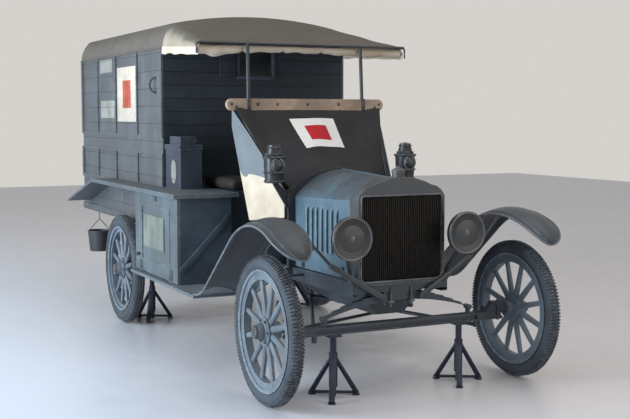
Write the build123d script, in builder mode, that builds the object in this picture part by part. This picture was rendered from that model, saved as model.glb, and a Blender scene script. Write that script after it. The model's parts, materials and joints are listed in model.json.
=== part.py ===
from build123d import *
import os
from math import asin, cos, radians, sin

# Light military ambulance truck of the 1910s: a wooden box body on a light car chassis
# with wooden-spoke wheels, a canvas canopy over the driver and four axle stands.
# Millimetres. +Z up, the front faces -Y, the vehicle's right side faces -X.
# Stations run back from the front axle; heights run up from the floor.

# Running gear
WHEELBASE = 2540
TYRE_RADIUS = 381
FRONT_TYRE_WIDTH = 76
REAR_TYRE_WIDTH = 89
BODY_HALF = 664                     # half width of the body, which stands between the rear wheels
WHEEL_CLEARANCE = 53.5              # from the body's side to the rear tyre
TRACK = 2 * (BODY_HALF + WHEEL_CLEARANCE) + REAR_TYRE_WIDTH
FLOOR_GAP = 5                       # the stands hold the tyres this far off the floor
RUN_GAP = 0.3                       # between a piece and the seat that carries it
HUB_Z = TYRE_RADIUS + FLOOR_GAP
SPOKES = 12
BORE_INNER = 20                     # hub bore, inner and outer bearing
BORE_OUTER = 13
KINGPIN_X = TRACK / 2 - 112
KINGPIN_RADIUS = 8
STEER_ARM = 150                     # knuckle arm, kingpin to tie rod
TIE_ROD_Z = 345
FRAME_HALF = 292
FRAME_TOP = 600
FRAME_DEPTH = 76
FRAME_FLANGE = 38
FRAME_FRONT = -30
FRAME_END = WHEELBASE - 32

# Body
BODY_FRONT = 1925
BODY_REAR = 4030
BODY_BOTTOM = 705
EAVE_Z = 1910
CROWN_Z = 2136
ROOF_CORNER = 74                    # width of the round eaves
ROOF_SHOULDER = 166                 # rise of the round eaves
WALL = 18
ROOF_OVERHANG = 25
ROOF_THICK = 16
SHELF_TOP = 1000
SHELF_THICK = 25
SHELF_HALF = 850
SHELF_FRONT = 1190
SHELF_REAR = 3060
DECK_HALF = 430                     # inner edge of the shelves beside the seat
LOCKER_HALF = 820
LOCKER_FRONT = 1215
LOCKER_REAR = 2062
BOARD_Z = 432
BOARD_THICK = 18
FENDER_HALF = 860
FENDER_INNER = 600

# Bonnet and cab
FIREWALL = 650
RADIATOR_HALF = 264
CORE_HALF = 243
BAR_Y = 1125
BAR_Z = 1537
BAR_HEIGHT = 72
BAR_THICK = 30
BAR_HALF = 534
ROD_Y = 1144
ROD_Z = 1905
ROD_RADIUS = 9
ROD_HALF = 704
COLUMN_X = 330
COLUMN_FOOT = (330, 485)
WHEEL_HUB = (1230, 1290)
STEERING_WHEEL_RADIUS = 190

FRONT_AXLE_Y = -(BODY_REAR + ROOF_OVERHANG - TYRE_RADIUS) / 2


def side_plane(x):
    """Plane across X at x; its own x is the station, its own y the height."""
    return Plane(origin=(x, FRONT_AXLE_Y, 0), x_dir=(0, 1, 0), z_dir=(1, 0, 0))


def cross_plane(station):
    """Plane across the vehicle at a station; extruding it by a minus amount goes back."""
    return Plane(origin=(0, FRONT_AXLE_Y + station, 0), x_dir=(1, 0, 0), z_dir=(0, -1, 0))


def level_plane(z):
    """Horizontal plane at a height; its own y is the station."""
    return Plane(origin=(0, FRONT_AXLE_Y, z), x_dir=(1, 0, 0), z_dir=(0, 0, 1))


def point(x, station, z):
    return Vector(x, FRONT_AXLE_Y + station, z)


def rod(start, end, radius, end_radius=None, mode=Mode.ADD):
    """Round bar between two points, tapered where a second radius is given."""
    axis = end - start
    with Locations(Plane(origin=start, z_dir=axis)):
        if end_radius is None:
            Cylinder(radius, axis.length, align=(Align.CENTER, Align.CENTER, Align.MIN), mode=mode)
        else:
            Cone(radius, end_radius, axis.length, align=(Align.CENTER, Align.CENTER, Align.MIN), mode=mode)


def box(x0, x1, y0, y1, z0, z1, mode=Mode.ADD):
    """Straight piece of timber or sheet between two opposite corners."""
    with Locations(point((x0 + x1) / 2, (y0 + y1) / 2, (z0 + z1) / 2)):
        Box(abs(x1 - x0), abs(y1 - y0), abs(z1 - z0), mode=mode)


def spindle(side, station, start):
    """Stub axle from x = start out through a wheel's hub, a running gap inside its bore."""
    centre = point(side * TRACK / 2, station, HUB_Z)
    with BuildSketch(Plane(origin=centre, x_dir=(side, 0, 0), z_dir=(0, 0, side))) as profile:
        with BuildLine():
            Polyline((start - TRACK / 2, 0), (start - TRACK / 2, 16), (-66, BORE_INNER - RUN_GAP),
                     (-20, BORE_INNER - RUN_GAP), (43, BORE_OUTER - RUN_GAP), (43, 0), close=True)
        make_face()
    revolve(profile.sketch, axis=Axis(centre, (side, 0, 0)))


def save(part, name):
    part.label = name
    export_step(part, f"parts/{name}.step")


# Steering axis: from the foot of the column to the hub of the steering wheel
ARM_LENGTH = 120
ARM_BALL = 10
LINK_BALL = 14
ROD_EYE = 12                        # half height of the tie rod's eyes
WHEEL_BOSS = 22                     # half length of the steering wheel's boss
column_foot = point(COLUMN_X, *COLUMN_FOOT)
column_top = point(COLUMN_X, *WHEEL_HUB)
column_axis = (column_top - column_foot).normalized()
arm_end = column_foot + Vector(0, column_axis.Z, -column_axis.Y) * ARM_LENGTH

os.makedirs("parts", exist_ok=True)

# Transverse leaf springs under the two end cross members
LEAF = 7
LEAVES = 7
LEAF_STEP = 0.13                    # each leaf is this share shorter than the longest
SPRINGS = (
    # station, width, eye half span, eye height, arch rise
    (0, 45, 447, 418, 75),
    (WHEELBASE, 50, 540, 448, 152),
)
FRONT_SPRING_TOP, REAR_SPRING_TOP = (eye + rise + LEAVES * LEAF for _, _, _, eye, rise in SPRINGS)
SPRING_EYE = 14

# Chassis frame: two channel rails and three cross members
CHANNEL = 5
with BuildPart() as frame:
    with BuildSketch(cross_plane(FRAME_FRONT)):
        for side in (-1, 1):
            with Locations((side * (FRAME_HALF - FRAME_FLANGE / 2), FRAME_TOP - FRAME_DEPTH / 2)):
                Rectangle(FRAME_FLANGE, FRAME_DEPTH)
            with Locations((side * (FRAME_HALF - FRAME_FLANGE / 2 - CHANNEL), FRAME_TOP - FRAME_DEPTH / 2)):
                Rectangle(FRAME_FLANGE, FRAME_DEPTH - 2 * CHANNEL, mode=Mode.SUBTRACT)
    extrude(amount=FRAME_FRONT - FRAME_END)
    for station, z0 in ((0, FRONT_SPRING_TOP + RUN_GAP), (1080, 540)):
        box(-FRAME_HALF + CHANNEL, FRAME_HALF - CHANNEL, station - 30, station + 30, z0, FRAME_TOP - CHANNEL)
    with BuildSketch(cross_plane(FRAME_END - 30)):
        with BuildLine():
            Line((-FRAME_HALF, 620), (-FRAME_HALF, 650))
            ThreePointArc((-FRAME_HALF, 650), (0, 692), (FRAME_HALF, 650))
            Line((FRAME_HALF, 650), (FRAME_HALF, 620))
            ThreePointArc((FRAME_HALF, 620), (0, REAR_SPRING_TOP + RUN_GAP), (-FRAME_HALF, 620))
        make_face()
    extrude(amount=-94)
    for side in (-1, 1):
        box(side * (FRAME_HALF - FRAME_FLANGE), side * FRAME_HALF, FRAME_END - 30, FRAME_END, FRAME_TOP - 2, 635)
save(frame.part, "frame")

# Engine and gearbox as one block at its real place, with the exhaust pipe and silencer
with BuildPart() as engine:
    with BuildSketch(cross_plane(90)):
        with BuildLine():
            Polyline((-115, 900), (115, 900), (125, 640), (150, 600), (150, 480), (90, 400),
                     (-90, 400), (-150, 480), (-150, 600), (-125, 640), close=True)
        make_face()
    extrude(amount=-540)
    box(CHANNEL - FRAME_HALF, FRAME_HALF - CHANNEL, 560, 610, 555, 585)
    rod(point(0, 630, 480), point(0, 1040, 480), 110, 78)
    rod(point(-140, 300, 640), point(-190, 1000, 500), 20)
    rod(point(-190, 990, 500), point(-190, 1250, 500), 20)
    rod(point(-190, 1250, 530), point(-190, 1800, 530), 55)
    rod(point(-190, 1800, 530), point(-190, 2150, 530), 20)
save(engine.part, "engine")

# Radiator: a rounded shell round the core
SHELL_BOTTOM = 581
with BuildPart() as radiator_shell:
    with BuildSketch(cross_plane(-40)):
        with BuildLine():
            Polyline((-RADIATOR_HALF, 1040), (-RADIATOR_HALF, SHELL_BOTTOM), (RADIATOR_HALF, SHELL_BOTTOM),
                     (RADIATOR_HALF, 1040))
            ThreePointArc((RADIATOR_HALF, 1040), (RADIATOR_HALF - 30, 1082), (RADIATOR_HALF - 84, 1104))
            ThreePointArc((RADIATOR_HALF - 84, 1104), (0, 1148), (84 - RADIATOR_HALF, 1104))
            ThreePointArc((84 - RADIATOR_HALF, 1104), (30 - RADIATOR_HALF, 1082), (-RADIATOR_HALF, 1040))
        make_face()
    extrude(amount=-95)
    with BuildSketch(cross_plane(-41)):
        with Locations((0, 826)):
            Rectangle(2 * CORE_HALF, 446)
    extrude(amount=-97, mode=Mode.SUBTRACT)
    box(-RADIATOR_HALF - 2, RADIATOR_HALF + 2, -31, 60, 550, FRAME_TOP, mode=Mode.SUBTRACT)
    rod(point(0, 5, 1140), point(0, 5, 1172), 34)
save(radiator_shell.part, "radiator_shell")

with BuildPart() as radiator_core:
    box(-CORE_HALF, CORE_HALF, -22, 50, 603, 1049)
save(radiator_core.part, "radiator_core")

# Bonnet: a thin arch that widens from the radiator to the firewall
HOOD_SKIN = 3
LOUVERS = 7
LOUVER_FRONT, LOUVER_STEP = 200, 52
LOUVER_BOTTOM, LOUVER_TOP = 722, 958
HOOD_ENDS = ((55, 252, 600, 1025, 1136), (FIREWALL, 300, 610, 1010, 1160))
with BuildPart() as hood:
    for inset in (0, HOOD_SKIN):
        for station, half, sill, shoulder, crown in HOOD_ENDS:
            w = half - inset
            with BuildSketch(cross_plane(station)):
                with BuildLine():
                    Polyline((-w, shoulder), (-w, sill), (w, sill), (w, shoulder))
                    ThreePointArc((w, shoulder), (0, crown - inset), (-w, shoulder))
                make_face()
        loft(mode=Mode.ADD if inset == 0 else Mode.SUBTRACT)
    (front, front_half, *_), (rear, rear_half, *_) = HOOD_ENDS
    for number in range(LOUVERS):
        station = LOUVER_FRONT + number * LOUVER_STEP
        half = front_half + (rear_half - front_half) * (station - front) / (rear - front)
        for side in (-1, 1):
            with BuildSketch(level_plane(LOUVER_BOTTOM)):
                with BuildLine():
                    Polyline((side * (half - HOOD_SKIN), station - 12), (side * (half + 9), station + 8),
                             (side * (half - HOOD_SKIN), station + 8), close=True)
                make_face()
            extrude(amount=LOUVER_TOP - LOUVER_BOTTOM)
save(hood.part, "hood")

# Firewall: a wooden panel with an arched top
FIREWALL_HALF = 345
PANEL = 22                          # thickness of the firewall
with BuildPart() as firewall:
    with BuildSketch(cross_plane(FIREWALL)):
        with BuildLine():
            Polyline((-FIREWALL_HALF, 1040), (-FIREWALL_HALF, 600), (FIREWALL_HALF, 600), (FIREWALL_HALF, 1040))
            ThreePointArc((FIREWALL_HALF, 1040), (0, 1172), (-FIREWALL_HALF, 1040))
        make_face()
        with Locations((0, FRAME_TOP)):
            Rectangle(240, 60, mode=Mode.SUBTRACT)
    extrude(amount=-PANEL)
    rod(column_foot, column_top, 26, mode=Mode.SUBTRACT)
save(firewall.part, "firewall")

# Front axle: a forged beam with a yoke at each end, and the wishbone that braces it
BEAM = 38
BEAM_WEB = 14
BEAM_BOTTOM, BEAM_TOP = 335, 378
WISHBONE_X, WISHBONE_Z = KINGPIN_X - 150, 312
WISHBONE_BALL = (1065, 352)
YOKE_HALF = 50
KNUCKLE_HALF = 33
front_eye, front_eye_z = SPRINGS[0][2:4]
with BuildPart() as front_axle:
    with BuildSketch(cross_plane(-BEAM / 2)):
        for side in (-1, 1):
            with BuildLine():
                Polyline((0, BEAM_BOTTOM), (side * (KINGPIN_X - 130), BEAM_BOTTOM),
                         (side * (KINGPIN_X - 50), HUB_Z - YOKE_HALF),
                         (side * (KINGPIN_X + 20), HUB_Z - YOKE_HALF),
                         (side * (KINGPIN_X + 20), HUB_Z - KNUCKLE_HALF - RUN_GAP),
                         (side * (KINGPIN_X - 28), HUB_Z - KNUCKLE_HALF - RUN_GAP),
                         (side * (KINGPIN_X - 28), HUB_Z + KNUCKLE_HALF + RUN_GAP),
                         (side * (KINGPIN_X + 20), HUB_Z + KNUCKLE_HALF + RUN_GAP),
                         (side * (KINGPIN_X + 20), HUB_Z + YOKE_HALF),
                         (side * (KINGPIN_X - 50), HUB_Z + YOKE_HALF),
                         (side * (KINGPIN_X - 90), BEAM_TOP), (0, BEAM_TOP), close=True)
            make_face()
    extrude(amount=-BEAM)
    for side in (-1, 1):
        rod(point(side * KINGPIN_X, 0, HUB_Z - YOKE_HALF - 8),
            point(side * KINGPIN_X, 0, HUB_Z + YOKE_HALF + 8), KINGPIN_RADIUS)
        rod(point(side * front_eye, 0, 370),
            point(side * front_eye, 0, front_eye_z - SPRING_EYE - RUN_GAP), 13)
        rod(point(side * WISHBONE_X, 0, BEAM_BOTTOM + 5), point(side * WISHBONE_X, 0, WISHBONE_Z - 12), 14)
        rod(point(side * WISHBONE_X, 0, WISHBONE_Z), point(0, *WISHBONE_BALL), 11)
        for face in (-1, 1):
            box(-WISHBONE_X, WISHBONE_X, face * BEAM / 2, face * BEAM_WEB / 2, BEAM_BOTTOM + 10, BEAM_TOP - 10,
                mode=Mode.SUBTRACT)
        rod(point(side * front_eye, 0, BEAM_BOTTOM + 2), point(side * front_eye, 0, BEAM_TOP), 13)
    with Locations(point(0, *WISHBONE_BALL)):
        Sphere(22)
    rod(point(0, *WISHBONE_BALL), point(0, WISHBONE_BALL[0], 400), 12)
save(front_axle.part, "front_axle")

# Springs: seven leaves, the longest below, with an eye at each end
with BuildPart() as springs:
    for station, width, half_span, eye_z, rise in SPRINGS:
        radius = (half_span**2 + rise**2) / (2 * rise)
        centre_z = eye_z + rise - radius
        with BuildSketch(cross_plane(station - width / 2)):
            for leaf in range(LEAVES):
                half_angle = asin(half_span * (1 - LEAF_STEP * leaf) / radius)
                inner = radius + LEAF * leaf
                outer = inner + LEAF
                inner_x, inner_z = inner * sin(half_angle), centre_z + inner * cos(half_angle)
                outer_x, outer_z = outer * sin(half_angle), centre_z + outer * cos(half_angle)
                with BuildLine():
                    ThreePointArc((-inner_x, inner_z), (0, centre_z + inner), (inner_x, inner_z))
                    Line((inner_x, inner_z), (outer_x, outer_z))
                    ThreePointArc((outer_x, outer_z), (0, centre_z + outer), (-outer_x, outer_z))
                    Line((-outer_x, outer_z), (-inner_x, inner_z))
                make_face()
            with Locations((-half_span, eye_z), (half_span, eye_z)):
                Circle(SPRING_EYE)
        extrude(amount=-width)
save(springs.part, "springs")

# Rear axle: bell housings, axle tubes, torque tube and its two brace rods
REAR_TUBE = 35
AXLE_END = TRACK / 2 - 107          # flange at each end of the housing
rear_eye, rear_eye_z = SPRINGS[1][2:4]
with BuildPart() as rear_axle:
    with BuildSketch(level_plane(HUB_Z)):
        with BuildLine():
            Polyline((-AXLE_END, WHEELBASE), (-AXLE_END, WHEELBASE + 55), (15 - AXLE_END, WHEELBASE + 55),
                     (25 - AXLE_END, WHEELBASE + REAR_TUBE), (-190, WHEELBASE + REAR_TUBE),
                     (-95, WHEELBASE + 120), (-40, WHEELBASE + 142), (40, WHEELBASE + 142),
                     (95, WHEELBASE + 120), (190, WHEELBASE + REAR_TUBE),
                     (AXLE_END - 25, WHEELBASE + REAR_TUBE), (AXLE_END - 15, WHEELBASE + 55),
                     (AXLE_END, WHEELBASE + 55), (AXLE_END, WHEELBASE), close=True)
        make_face()
    revolve(axis=Axis(point(0, WHEELBASE, HUB_Z), (1, 0, 0)))
    rod(point(0, 1050, 470), point(0, WHEELBASE - 80, HUB_Z + 4), 36, 52)
    for side in (-1, 1):
        rod(point(side * (AXLE_END - 55), WHEELBASE, HUB_Z - 10), point(side * 40, 1150, 455), 11)
        rod(point(side * rear_eye, WHEELBASE, HUB_Z + 20),
            point(side * rear_eye, WHEELBASE, rear_eye_z - SPRING_EYE - RUN_GAP), 14)
        spindle(side, WHEELBASE, AXLE_END - 5)
save(rear_axle.part, "rear_axle")

# Steering knuckles: body on the kingpin, tapered stub axle outwards, arm backwards
for side, name in ((-1, "knuckle_right"), (1, "knuckle_left")):
    with BuildPart() as knuckle:
        rod(point(side * KINGPIN_X, 0, HUB_Z - KNUCKLE_HALF),
            point(side * KINGPIN_X, 0, HUB_Z + KNUCKLE_HALF), 18)
        spindle(side, 0, KINGPIN_X)
        rod(point(side * KINGPIN_X, 0, HUB_Z - 16), point(side * KINGPIN_X, STEER_ARM, HUB_Z - 16), 9)
        rod(point(side * KINGPIN_X, STEER_ARM, TIE_ROD_Z + ROD_EYE + RUN_GAP),
            point(side * KINGPIN_X, STEER_ARM, HUB_Z - 4), 13)
        with Locations(point(side * KINGPIN_X, 0, HUB_Z)):
            Cylinder(KINGPIN_RADIUS + RUN_GAP, 3 * YOKE_HALF, mode=Mode.SUBTRACT)
    save(knuckle.part, name)

# Tie rod behind the axle with the drag link that runs to the steering arm
with BuildPart() as tie_rod:
    rod(point(-KINGPIN_X, STEER_ARM, TIE_ROD_Z), point(KINGPIN_X, STEER_ARM, TIE_ROD_Z), 10)
    for side in (-1, 1):
        with Locations(point(side * KINGPIN_X, STEER_ARM, TIE_ROD_Z)):
            Cylinder(16, 2 * ROD_EYE)
    link_end = arm_end - Vector(0, 0, LINK_BALL + ARM_BALL + RUN_GAP)
    rod(point(90 - KINGPIN_X, STEER_ARM, TIE_ROD_Z), link_end, 9)
    with Locations(link_end):
        Sphere(LINK_BALL)
save(tie_rod.part, "tie_rod")

# Steering column, arm and wheel on one sloping axis
with BuildPart() as steering_column:
    rod(column_foot + column_axis * (10 + RUN_GAP), column_top - column_axis * (WHEEL_BOSS + RUN_GAP), 19)
    box(FRAME_HALF, COLUMN_X + 10, COLUMN_FOOT[0] + 70, COLUMN_FOOT[0] + 120, 545, 575)
save(steering_column.part, "steering_column")

with BuildPart() as steering_arm:
    rod(column_foot - column_axis * 14, column_foot + column_axis * 10, 20)
    rod(column_foot, arm_end, 9)
    with Locations(arm_end):
        Sphere(ARM_BALL)
save(steering_arm.part, "steering_arm")

with BuildPart() as steering_wheel:
    wheel_plane = Plane(origin=column_top, x_dir=(1, 0, 0), z_dir=column_axis)
    with Locations(wheel_plane):
        Torus(STEERING_WHEEL_RADIUS - 14, 14)
        Cylinder(32, 2 * WHEEL_BOSS)
    for quarter in range(4):
        angle = radians(45 + 90 * quarter)
        reach = STEERING_WHEEL_RADIUS - 14
        tip = column_top + wheel_plane.x_dir * (reach * cos(angle)) + wheel_plane.y_dir * (reach * sin(angle))
        rod(column_top, tip, 9)
save(steering_wheel.part, "steering_wheel")

# Wheels: hub, twelve wooden spokes, felloe and steel rim; tyres apart
WHEELS = (
    # name, side, station, tyre width, brake drum radius
    ("front_right", -1, 0, FRONT_TYRE_WIDTH, 0),
    ("front_left", 1, 0, FRONT_TYRE_WIDTH, 0),
    ("rear_right", -1, WHEELBASE, REAR_TYRE_WIDTH, 105),
    ("rear_left", 1, WHEELBASE, REAR_TYRE_WIDTH, 105),
)
FELLOE_INNER = 262
for name, side, station, tyre_width, drum in WHEELS:
    centre = point(side * TRACK / 2, station, HUB_Z)
    hub_plane = Plane(origin=centre, x_dir=(side, 0, 0), z_dir=(0, 0, side))
    seat = TYRE_RADIUS - tyre_width
    axle_line = Axis(centre, (side, 0, 0))
    with BuildPart() as wheel:
        with BuildSketch(hub_plane):
            with BuildLine():
                Polyline((-62, 44), (-24, 48), (-24, 74), (24, 74), (24, 46), (50, 40), (74, 30),
                         (74, 0), (44, 0), (44, BORE_OUTER), (-20, BORE_INNER), (-62, BORE_INNER), close=True)
            make_face()
            with BuildLine():
                Polyline((-22, FELLOE_INNER), (22, FELLOE_INNER), (22, seat - 6), (tyre_width / 2 - 10, seat - 6),
                         (tyre_width / 2 - 6, seat + 8), (tyre_width / 2 - 14, seat), (14 - tyre_width / 2, seat),
                         (6 - tyre_width / 2, seat + 8), (10 - tyre_width / 2, seat - 6), (-22, seat - 6), close=True)
            make_face()
            if drum:
                with BuildLine():
                    Polyline((-90, drum), (-50, drum), (-50, 40), (-56, 40), (-56, drum - 6), (-90, drum - 6),
                             close=True)
                make_face()
        revolve(axis=axle_line)
        for spoke in range(SPOKES):
            angle = radians(360 / SPOKES * (spoke + 0.5))
            ray = Vector(0, cos(angle), sin(angle))
            for radius, thick, wide in ((68, 15, 17), (FELLOE_INNER + 6, 11, 13)):
                with BuildSketch(Plane(origin=centre + ray * radius, x_dir=(1, 0, 0), z_dir=ray)):
                    with BuildLine():
                        Polyline((thick, wide / 2), (thick / 2, wide), (-thick / 2, wide), (-thick, wide / 2),
                                 (-thick, -wide / 2), (-thick / 2, -wide), (thick / 2, -wide), (thick, -wide / 2),
                                 close=True)
                    make_face()
            loft()
    save(wheel.part, f"wheel_{name}")
    with BuildPart() as tyre:
        with BuildSketch(hub_plane):
            half = tyre_width / 2
            with BuildLine():
                Polyline((16 - half, seat + 1), (half - 16, seat + 1), (half, TYRE_RADIUS - half),
                         (0.66 * half, TYRE_RADIUS - 0.22 * half), (0.24 * half, TYRE_RADIUS),
                         (-0.24 * half, TYRE_RADIUS), (-0.66 * half, TYRE_RADIUS - 0.22 * half),
                         (-half, TYRE_RADIUS - half), close=True)
            make_face()
        revolve(axis=axle_line)
    save(tyre.part, f"tyre_{name}")

# Front fenders: a crowned sheet with beaded edges, swept over the wheel and down to the running board
FENDER_SKIN = 4
FENDER_CROWN = 38                   # rise of the sheet's middle over its edges
FENDER_BEAD = 6
FENDER_ARC = 481                    # radius of the arch over the wheel
FENDER_RISE, FENDER_FALL = 42.2, 38.7
FENDER_TIP = (-345, 800)
FENDER_FOOT_ARC = 300
FENDER_FOOT_Z = BOARD_Z + BOARD_THICK + FENDER_BEAD + RUN_GAP
IRON_Y = -49                        # middle of the flat irons in front of the radiator
fender_mid = (FENDER_HALF + FENDER_INNER) / 2
fender_edge = (FENDER_HALF - FENDER_INNER) / 2 - FENDER_BEAD
with BuildPart() as fenders:
    for side in (-1, 1):
        with BuildLine(side_plane(side * fender_mid)) as run:
            arch_end = JernArc(FENDER_TIP, (cos(radians(FENDER_RISE)), sin(radians(FENDER_RISE))), FENDER_ARC,
                               -FENDER_RISE - FENDER_FALL) @ 1
            fall, drop = cos(radians(FENDER_FALL)), sin(radians(FENDER_FALL))
            start = (arch_end.Y - FRONT_AXLE_Y, arch_end.Z)
            foot_z = FENDER_FOOT_Z + FENDER_FOOT_ARC * (1 - fall)
            end = (start[0] + (start[1] - foot_z) * fall / drop, foot_z)
            Line(start, end)
            JernArc(end, (fall, -drop), FENDER_FOOT_ARC, FENDER_FALL)
        with BuildSketch(Plane(origin=run.line @ 0, x_dir=(-1, 0, 0), z_dir=run.line % 0)):
            with BuildLine():
                ThreePointArc((-fender_edge, 0), (0, FENDER_CROWN), (fender_edge, 0))
                Line((fender_edge, 0), (fender_edge - FENDER_SKIN, 0))
                ThreePointArc((fender_edge - FENDER_SKIN, 0), (0, FENDER_CROWN - FENDER_SKIN),
                              (FENDER_SKIN - fender_edge, 0))
                Line((FENDER_SKIN - fender_edge, 0), (-fender_edge, 0))
            make_face()
            with Locations((-fender_edge, 0), (fender_edge, 0)):
                Circle(FENDER_BEAD)
        sweep(path=run.line)
    for side in (-1, 1):
        with BuildSketch(cross_plane(IRON_Y - 8)):
            with BuildLine():
                Polyline((side * 95, 493), (side * 110, 525), (side * 415, 710), (side * 436, 710), (side * 436, 690),
                         (side * 112, 493), close=True)
            make_face()
        extrude(amount=-16)
        rod(point(side * 426, IRON_Y, 700), point(side * 640, IRON_Y + 19, 936), 8)
        rod(point(side * 190, IRON_Y + 8, 560), point(side * 190, FRAME_FRONT - RUN_GAP, 560), 8)
        rod(point(side * (FRAME_HALF + RUN_GAP), 560, 570), point(side * 440, 560, 570), 8)
        with Locations(point(side * 440, 560, 570)):
            Sphere(8)
        rod(point(side * 440, 560, 570), point(side * 632, 560, 604), 8)
save(fenders.part, "fenders")

# Running boards with the sheet aprons that close them to the frame
with BuildPart() as running_boards:
    for side in (-1, 1):
        box(side * 540, side * FENDER_HALF, 830, LOCKER_REAR, BOARD_Z, BOARD_Z + BOARD_THICK)
        with BuildSketch(cross_plane(700)):
            with BuildLine():
                Polyline((side * 560, BOARD_Z), (side * 560, BOARD_Z + 10), (side * 330, FRAME_TOP),
                         (side * FRAME_HALF, FRAME_TOP), (side * FRAME_HALF, FRAME_TOP - 4),
                         (side * 328, FRAME_TOP - 4), (side * 556, BOARD_Z), close=True)
            make_face()
        extrude(amount=-(LOCKER_FRONT - 700))
save(running_boards.part, "running_boards")

# Side lockers: boxes under the shelves with a drop door each
LOCKER_INNER = 470
DOOR_THICK = 18
DOOR_GAP = 6
LOCKER_BOTTOM = BOARD_Z + BOARD_THICK
LOCKER_TOP = SHELF_TOP - SHELF_THICK
with BuildPart() as lockers:
    for side in (-1, 1):
        for inset, outer, mode in ((0, LOCKER_HALF - DOOR_THICK, Mode.ADD), (WALL, LOCKER_HALF, Mode.SUBTRACT)):
            with BuildSketch(level_plane(LOCKER_BOTTOM + inset)):
                with BuildLine():
                    inner, step = LOCKER_INNER + inset, BODY_HALF + inset
                    Polyline((side * inner, LOCKER_FRONT + inset), (side * outer, LOCKER_FRONT + inset),
                             (side * outer, LOCKER_REAR - inset), (side * step, LOCKER_REAR - inset),
                             (side * step, BODY_FRONT - inset), (side * inner, BODY_FRONT - inset), close=True)
                make_face()
            extrude(amount=LOCKER_TOP - LOCKER_BOTTOM - 2 * inset, mode=mode)
save(lockers.part, "lockers")

for side, name in ((-1, "locker_door_right"), (1, "locker_door_left")):
    with BuildPart() as door:
        box(side * (LOCKER_HALF - DOOR_THICK + 0.5), side * LOCKER_HALF, LOCKER_FRONT, LOCKER_REAR,
            LOCKER_BOTTOM + DOOR_GAP, LOCKER_TOP - DOOR_GAP)
        box(side * (LOCKER_HALF - 4), side * (LOCKER_HALF + 4), LOCKER_FRONT + 150, LOCKER_REAR - 150,
            LOCKER_BOTTOM + 90, LOCKER_TOP - 90, mode=Mode.SUBTRACT)
        for station in (LOCKER_FRONT + 90, LOCKER_REAR - 150):
            rod(point(side * LOCKER_HALF, station, LOCKER_BOTTOM + DOOR_GAP),
                point(side * LOCKER_HALF, station + 60, LOCKER_BOTTOM + DOOR_GAP), DOOR_GAP - 1)
    save(door.part, name)

# Shelves: boards over the rear wheels and lockers, with a flap that drops behind each wheel
BATTEN = 12                         # how far the battens and the ledger stand out from the boards
LEDGER_FACE = BODY_HALF + BATTEN
with BuildPart() as shelves:
    for side in (-1, 1):
        with BuildSketch(level_plane(LOCKER_TOP)):
            with BuildLine():
                Polyline((side * DECK_HALF, SHELF_FRONT), (side * SHELF_HALF, SHELF_FRONT),
                         (side * SHELF_HALF, SHELF_REAR), (side * LEDGER_FACE, SHELF_REAR),
                         (side * LEDGER_FACE, BODY_FRONT), (side * DECK_HALF, BODY_FRONT), close=True)
            make_face()
        extrude(amount=SHELF_THICK)
        with BuildSketch(side_plane(side * LEDGER_FACE)):
            with BuildLine():
                Polyline((SHELF_REAR, SHELF_TOP), (SHELF_REAR + 775, 797), (SHELF_REAR + 771, 781),
                         (SHELF_REAR, SHELF_TOP - 17), close=True)
            make_face()
        extrude(amount=side * (SHELF_HALF - LEDGER_FACE))
save(shelves.part, "shelves")

# Body: floor on two sills, boarded sides, front wall, rear frame and drop tailboard
with BuildPart() as body_floor:
    box(-BODY_HALF + WALL, BODY_HALF - WALL, BODY_FRONT + WALL, BODY_REAR - WALL, BODY_BOTTOM, BODY_BOTTOM + 22)
    for side in (-1, 1):
        box(side * (FRAME_HALF - 45), side * (FRAME_HALF + 15), BODY_FRONT, BODY_REAR - WALL, FRAME_TOP, BODY_BOTTOM)
    box(-FRAME_HALF - 16, FRAME_HALF + 16, FRAME_END - 31, WHEELBASE + 34, FRAME_TOP - 1, 695, mode=Mode.SUBTRACT)
save(body_floor.part, "body_floor")

BAND_LOW, BAND_HIGH = 1215, 1330    # plain band along each side
BATTENS = (
    # middle of the batten, width
    (BODY_FRONT + 20, 40),
    (2485, 24),
    (3025, 24),
    (3530, 24),
    (BODY_REAR - 22, 44),
)
with BuildPart() as body_sides:
    for side in (-1, 1):
        for station, width in BATTENS:
            for low, high in ((SHELF_TOP - 1, BAND_LOW), (BAND_HIGH, EAVE_Z - 4)):
                box(side * BODY_HALF, side * LEDGER_FACE, station - width / 2, station + width / 2, low, high)
        box(side * BODY_HALF, side * LEDGER_FACE, BODY_FRONT, BODY_REAR, SHELF_TOP - SHELF_THICK, SHELF_TOP)
        for z in (BAND_LOW, BAND_HIGH):
            box(side * BODY_HALF, side * (LEDGER_FACE - 3), BODY_FRONT, BODY_REAR, z - 8, z + 8)
        box(side * BODY_HALF, side * (LEDGER_FACE - 2), LOCKER_REAR + 8, BODY_REAR, BODY_BOTTOM, BODY_BOTTOM + 50)
        box(side * (BODY_HALF - WALL), side * BODY_HALF, BODY_FRONT + WALL, BODY_REAR - WALL, BODY_BOTTOM, EAVE_Z)
        box(side * (BODY_HALF - WALL - 45), side * (BODY_HALF - WALL), BODY_FRONT + WALL, BODY_REAR - WALL, 1330, 1375)
save(body_sides.part, "body_sides")


def arch(inset):
    """Outline of the roof's section above the eaves: round eaves and a flat crown."""
    w = BODY_HALF - inset
    middle = (w - 0.28 * ROOF_CORNER, EAVE_Z + 0.56 * ROOF_SHOULDER - inset / 2)
    shoulder = (w - ROOF_CORNER, EAVE_Z + ROOF_SHOULDER - inset)
    Line((-w, EAVE_Z), (w, EAVE_Z))
    ThreePointArc((w, EAVE_Z), middle, shoulder)
    ThreePointArc(shoulder, (0, CROWN_Z - inset), (-shoulder[0], shoulder[1]))
    ThreePointArc((-shoulder[0], shoulder[1]), (-middle[0], middle[1]), (-w, EAVE_Z))


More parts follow.
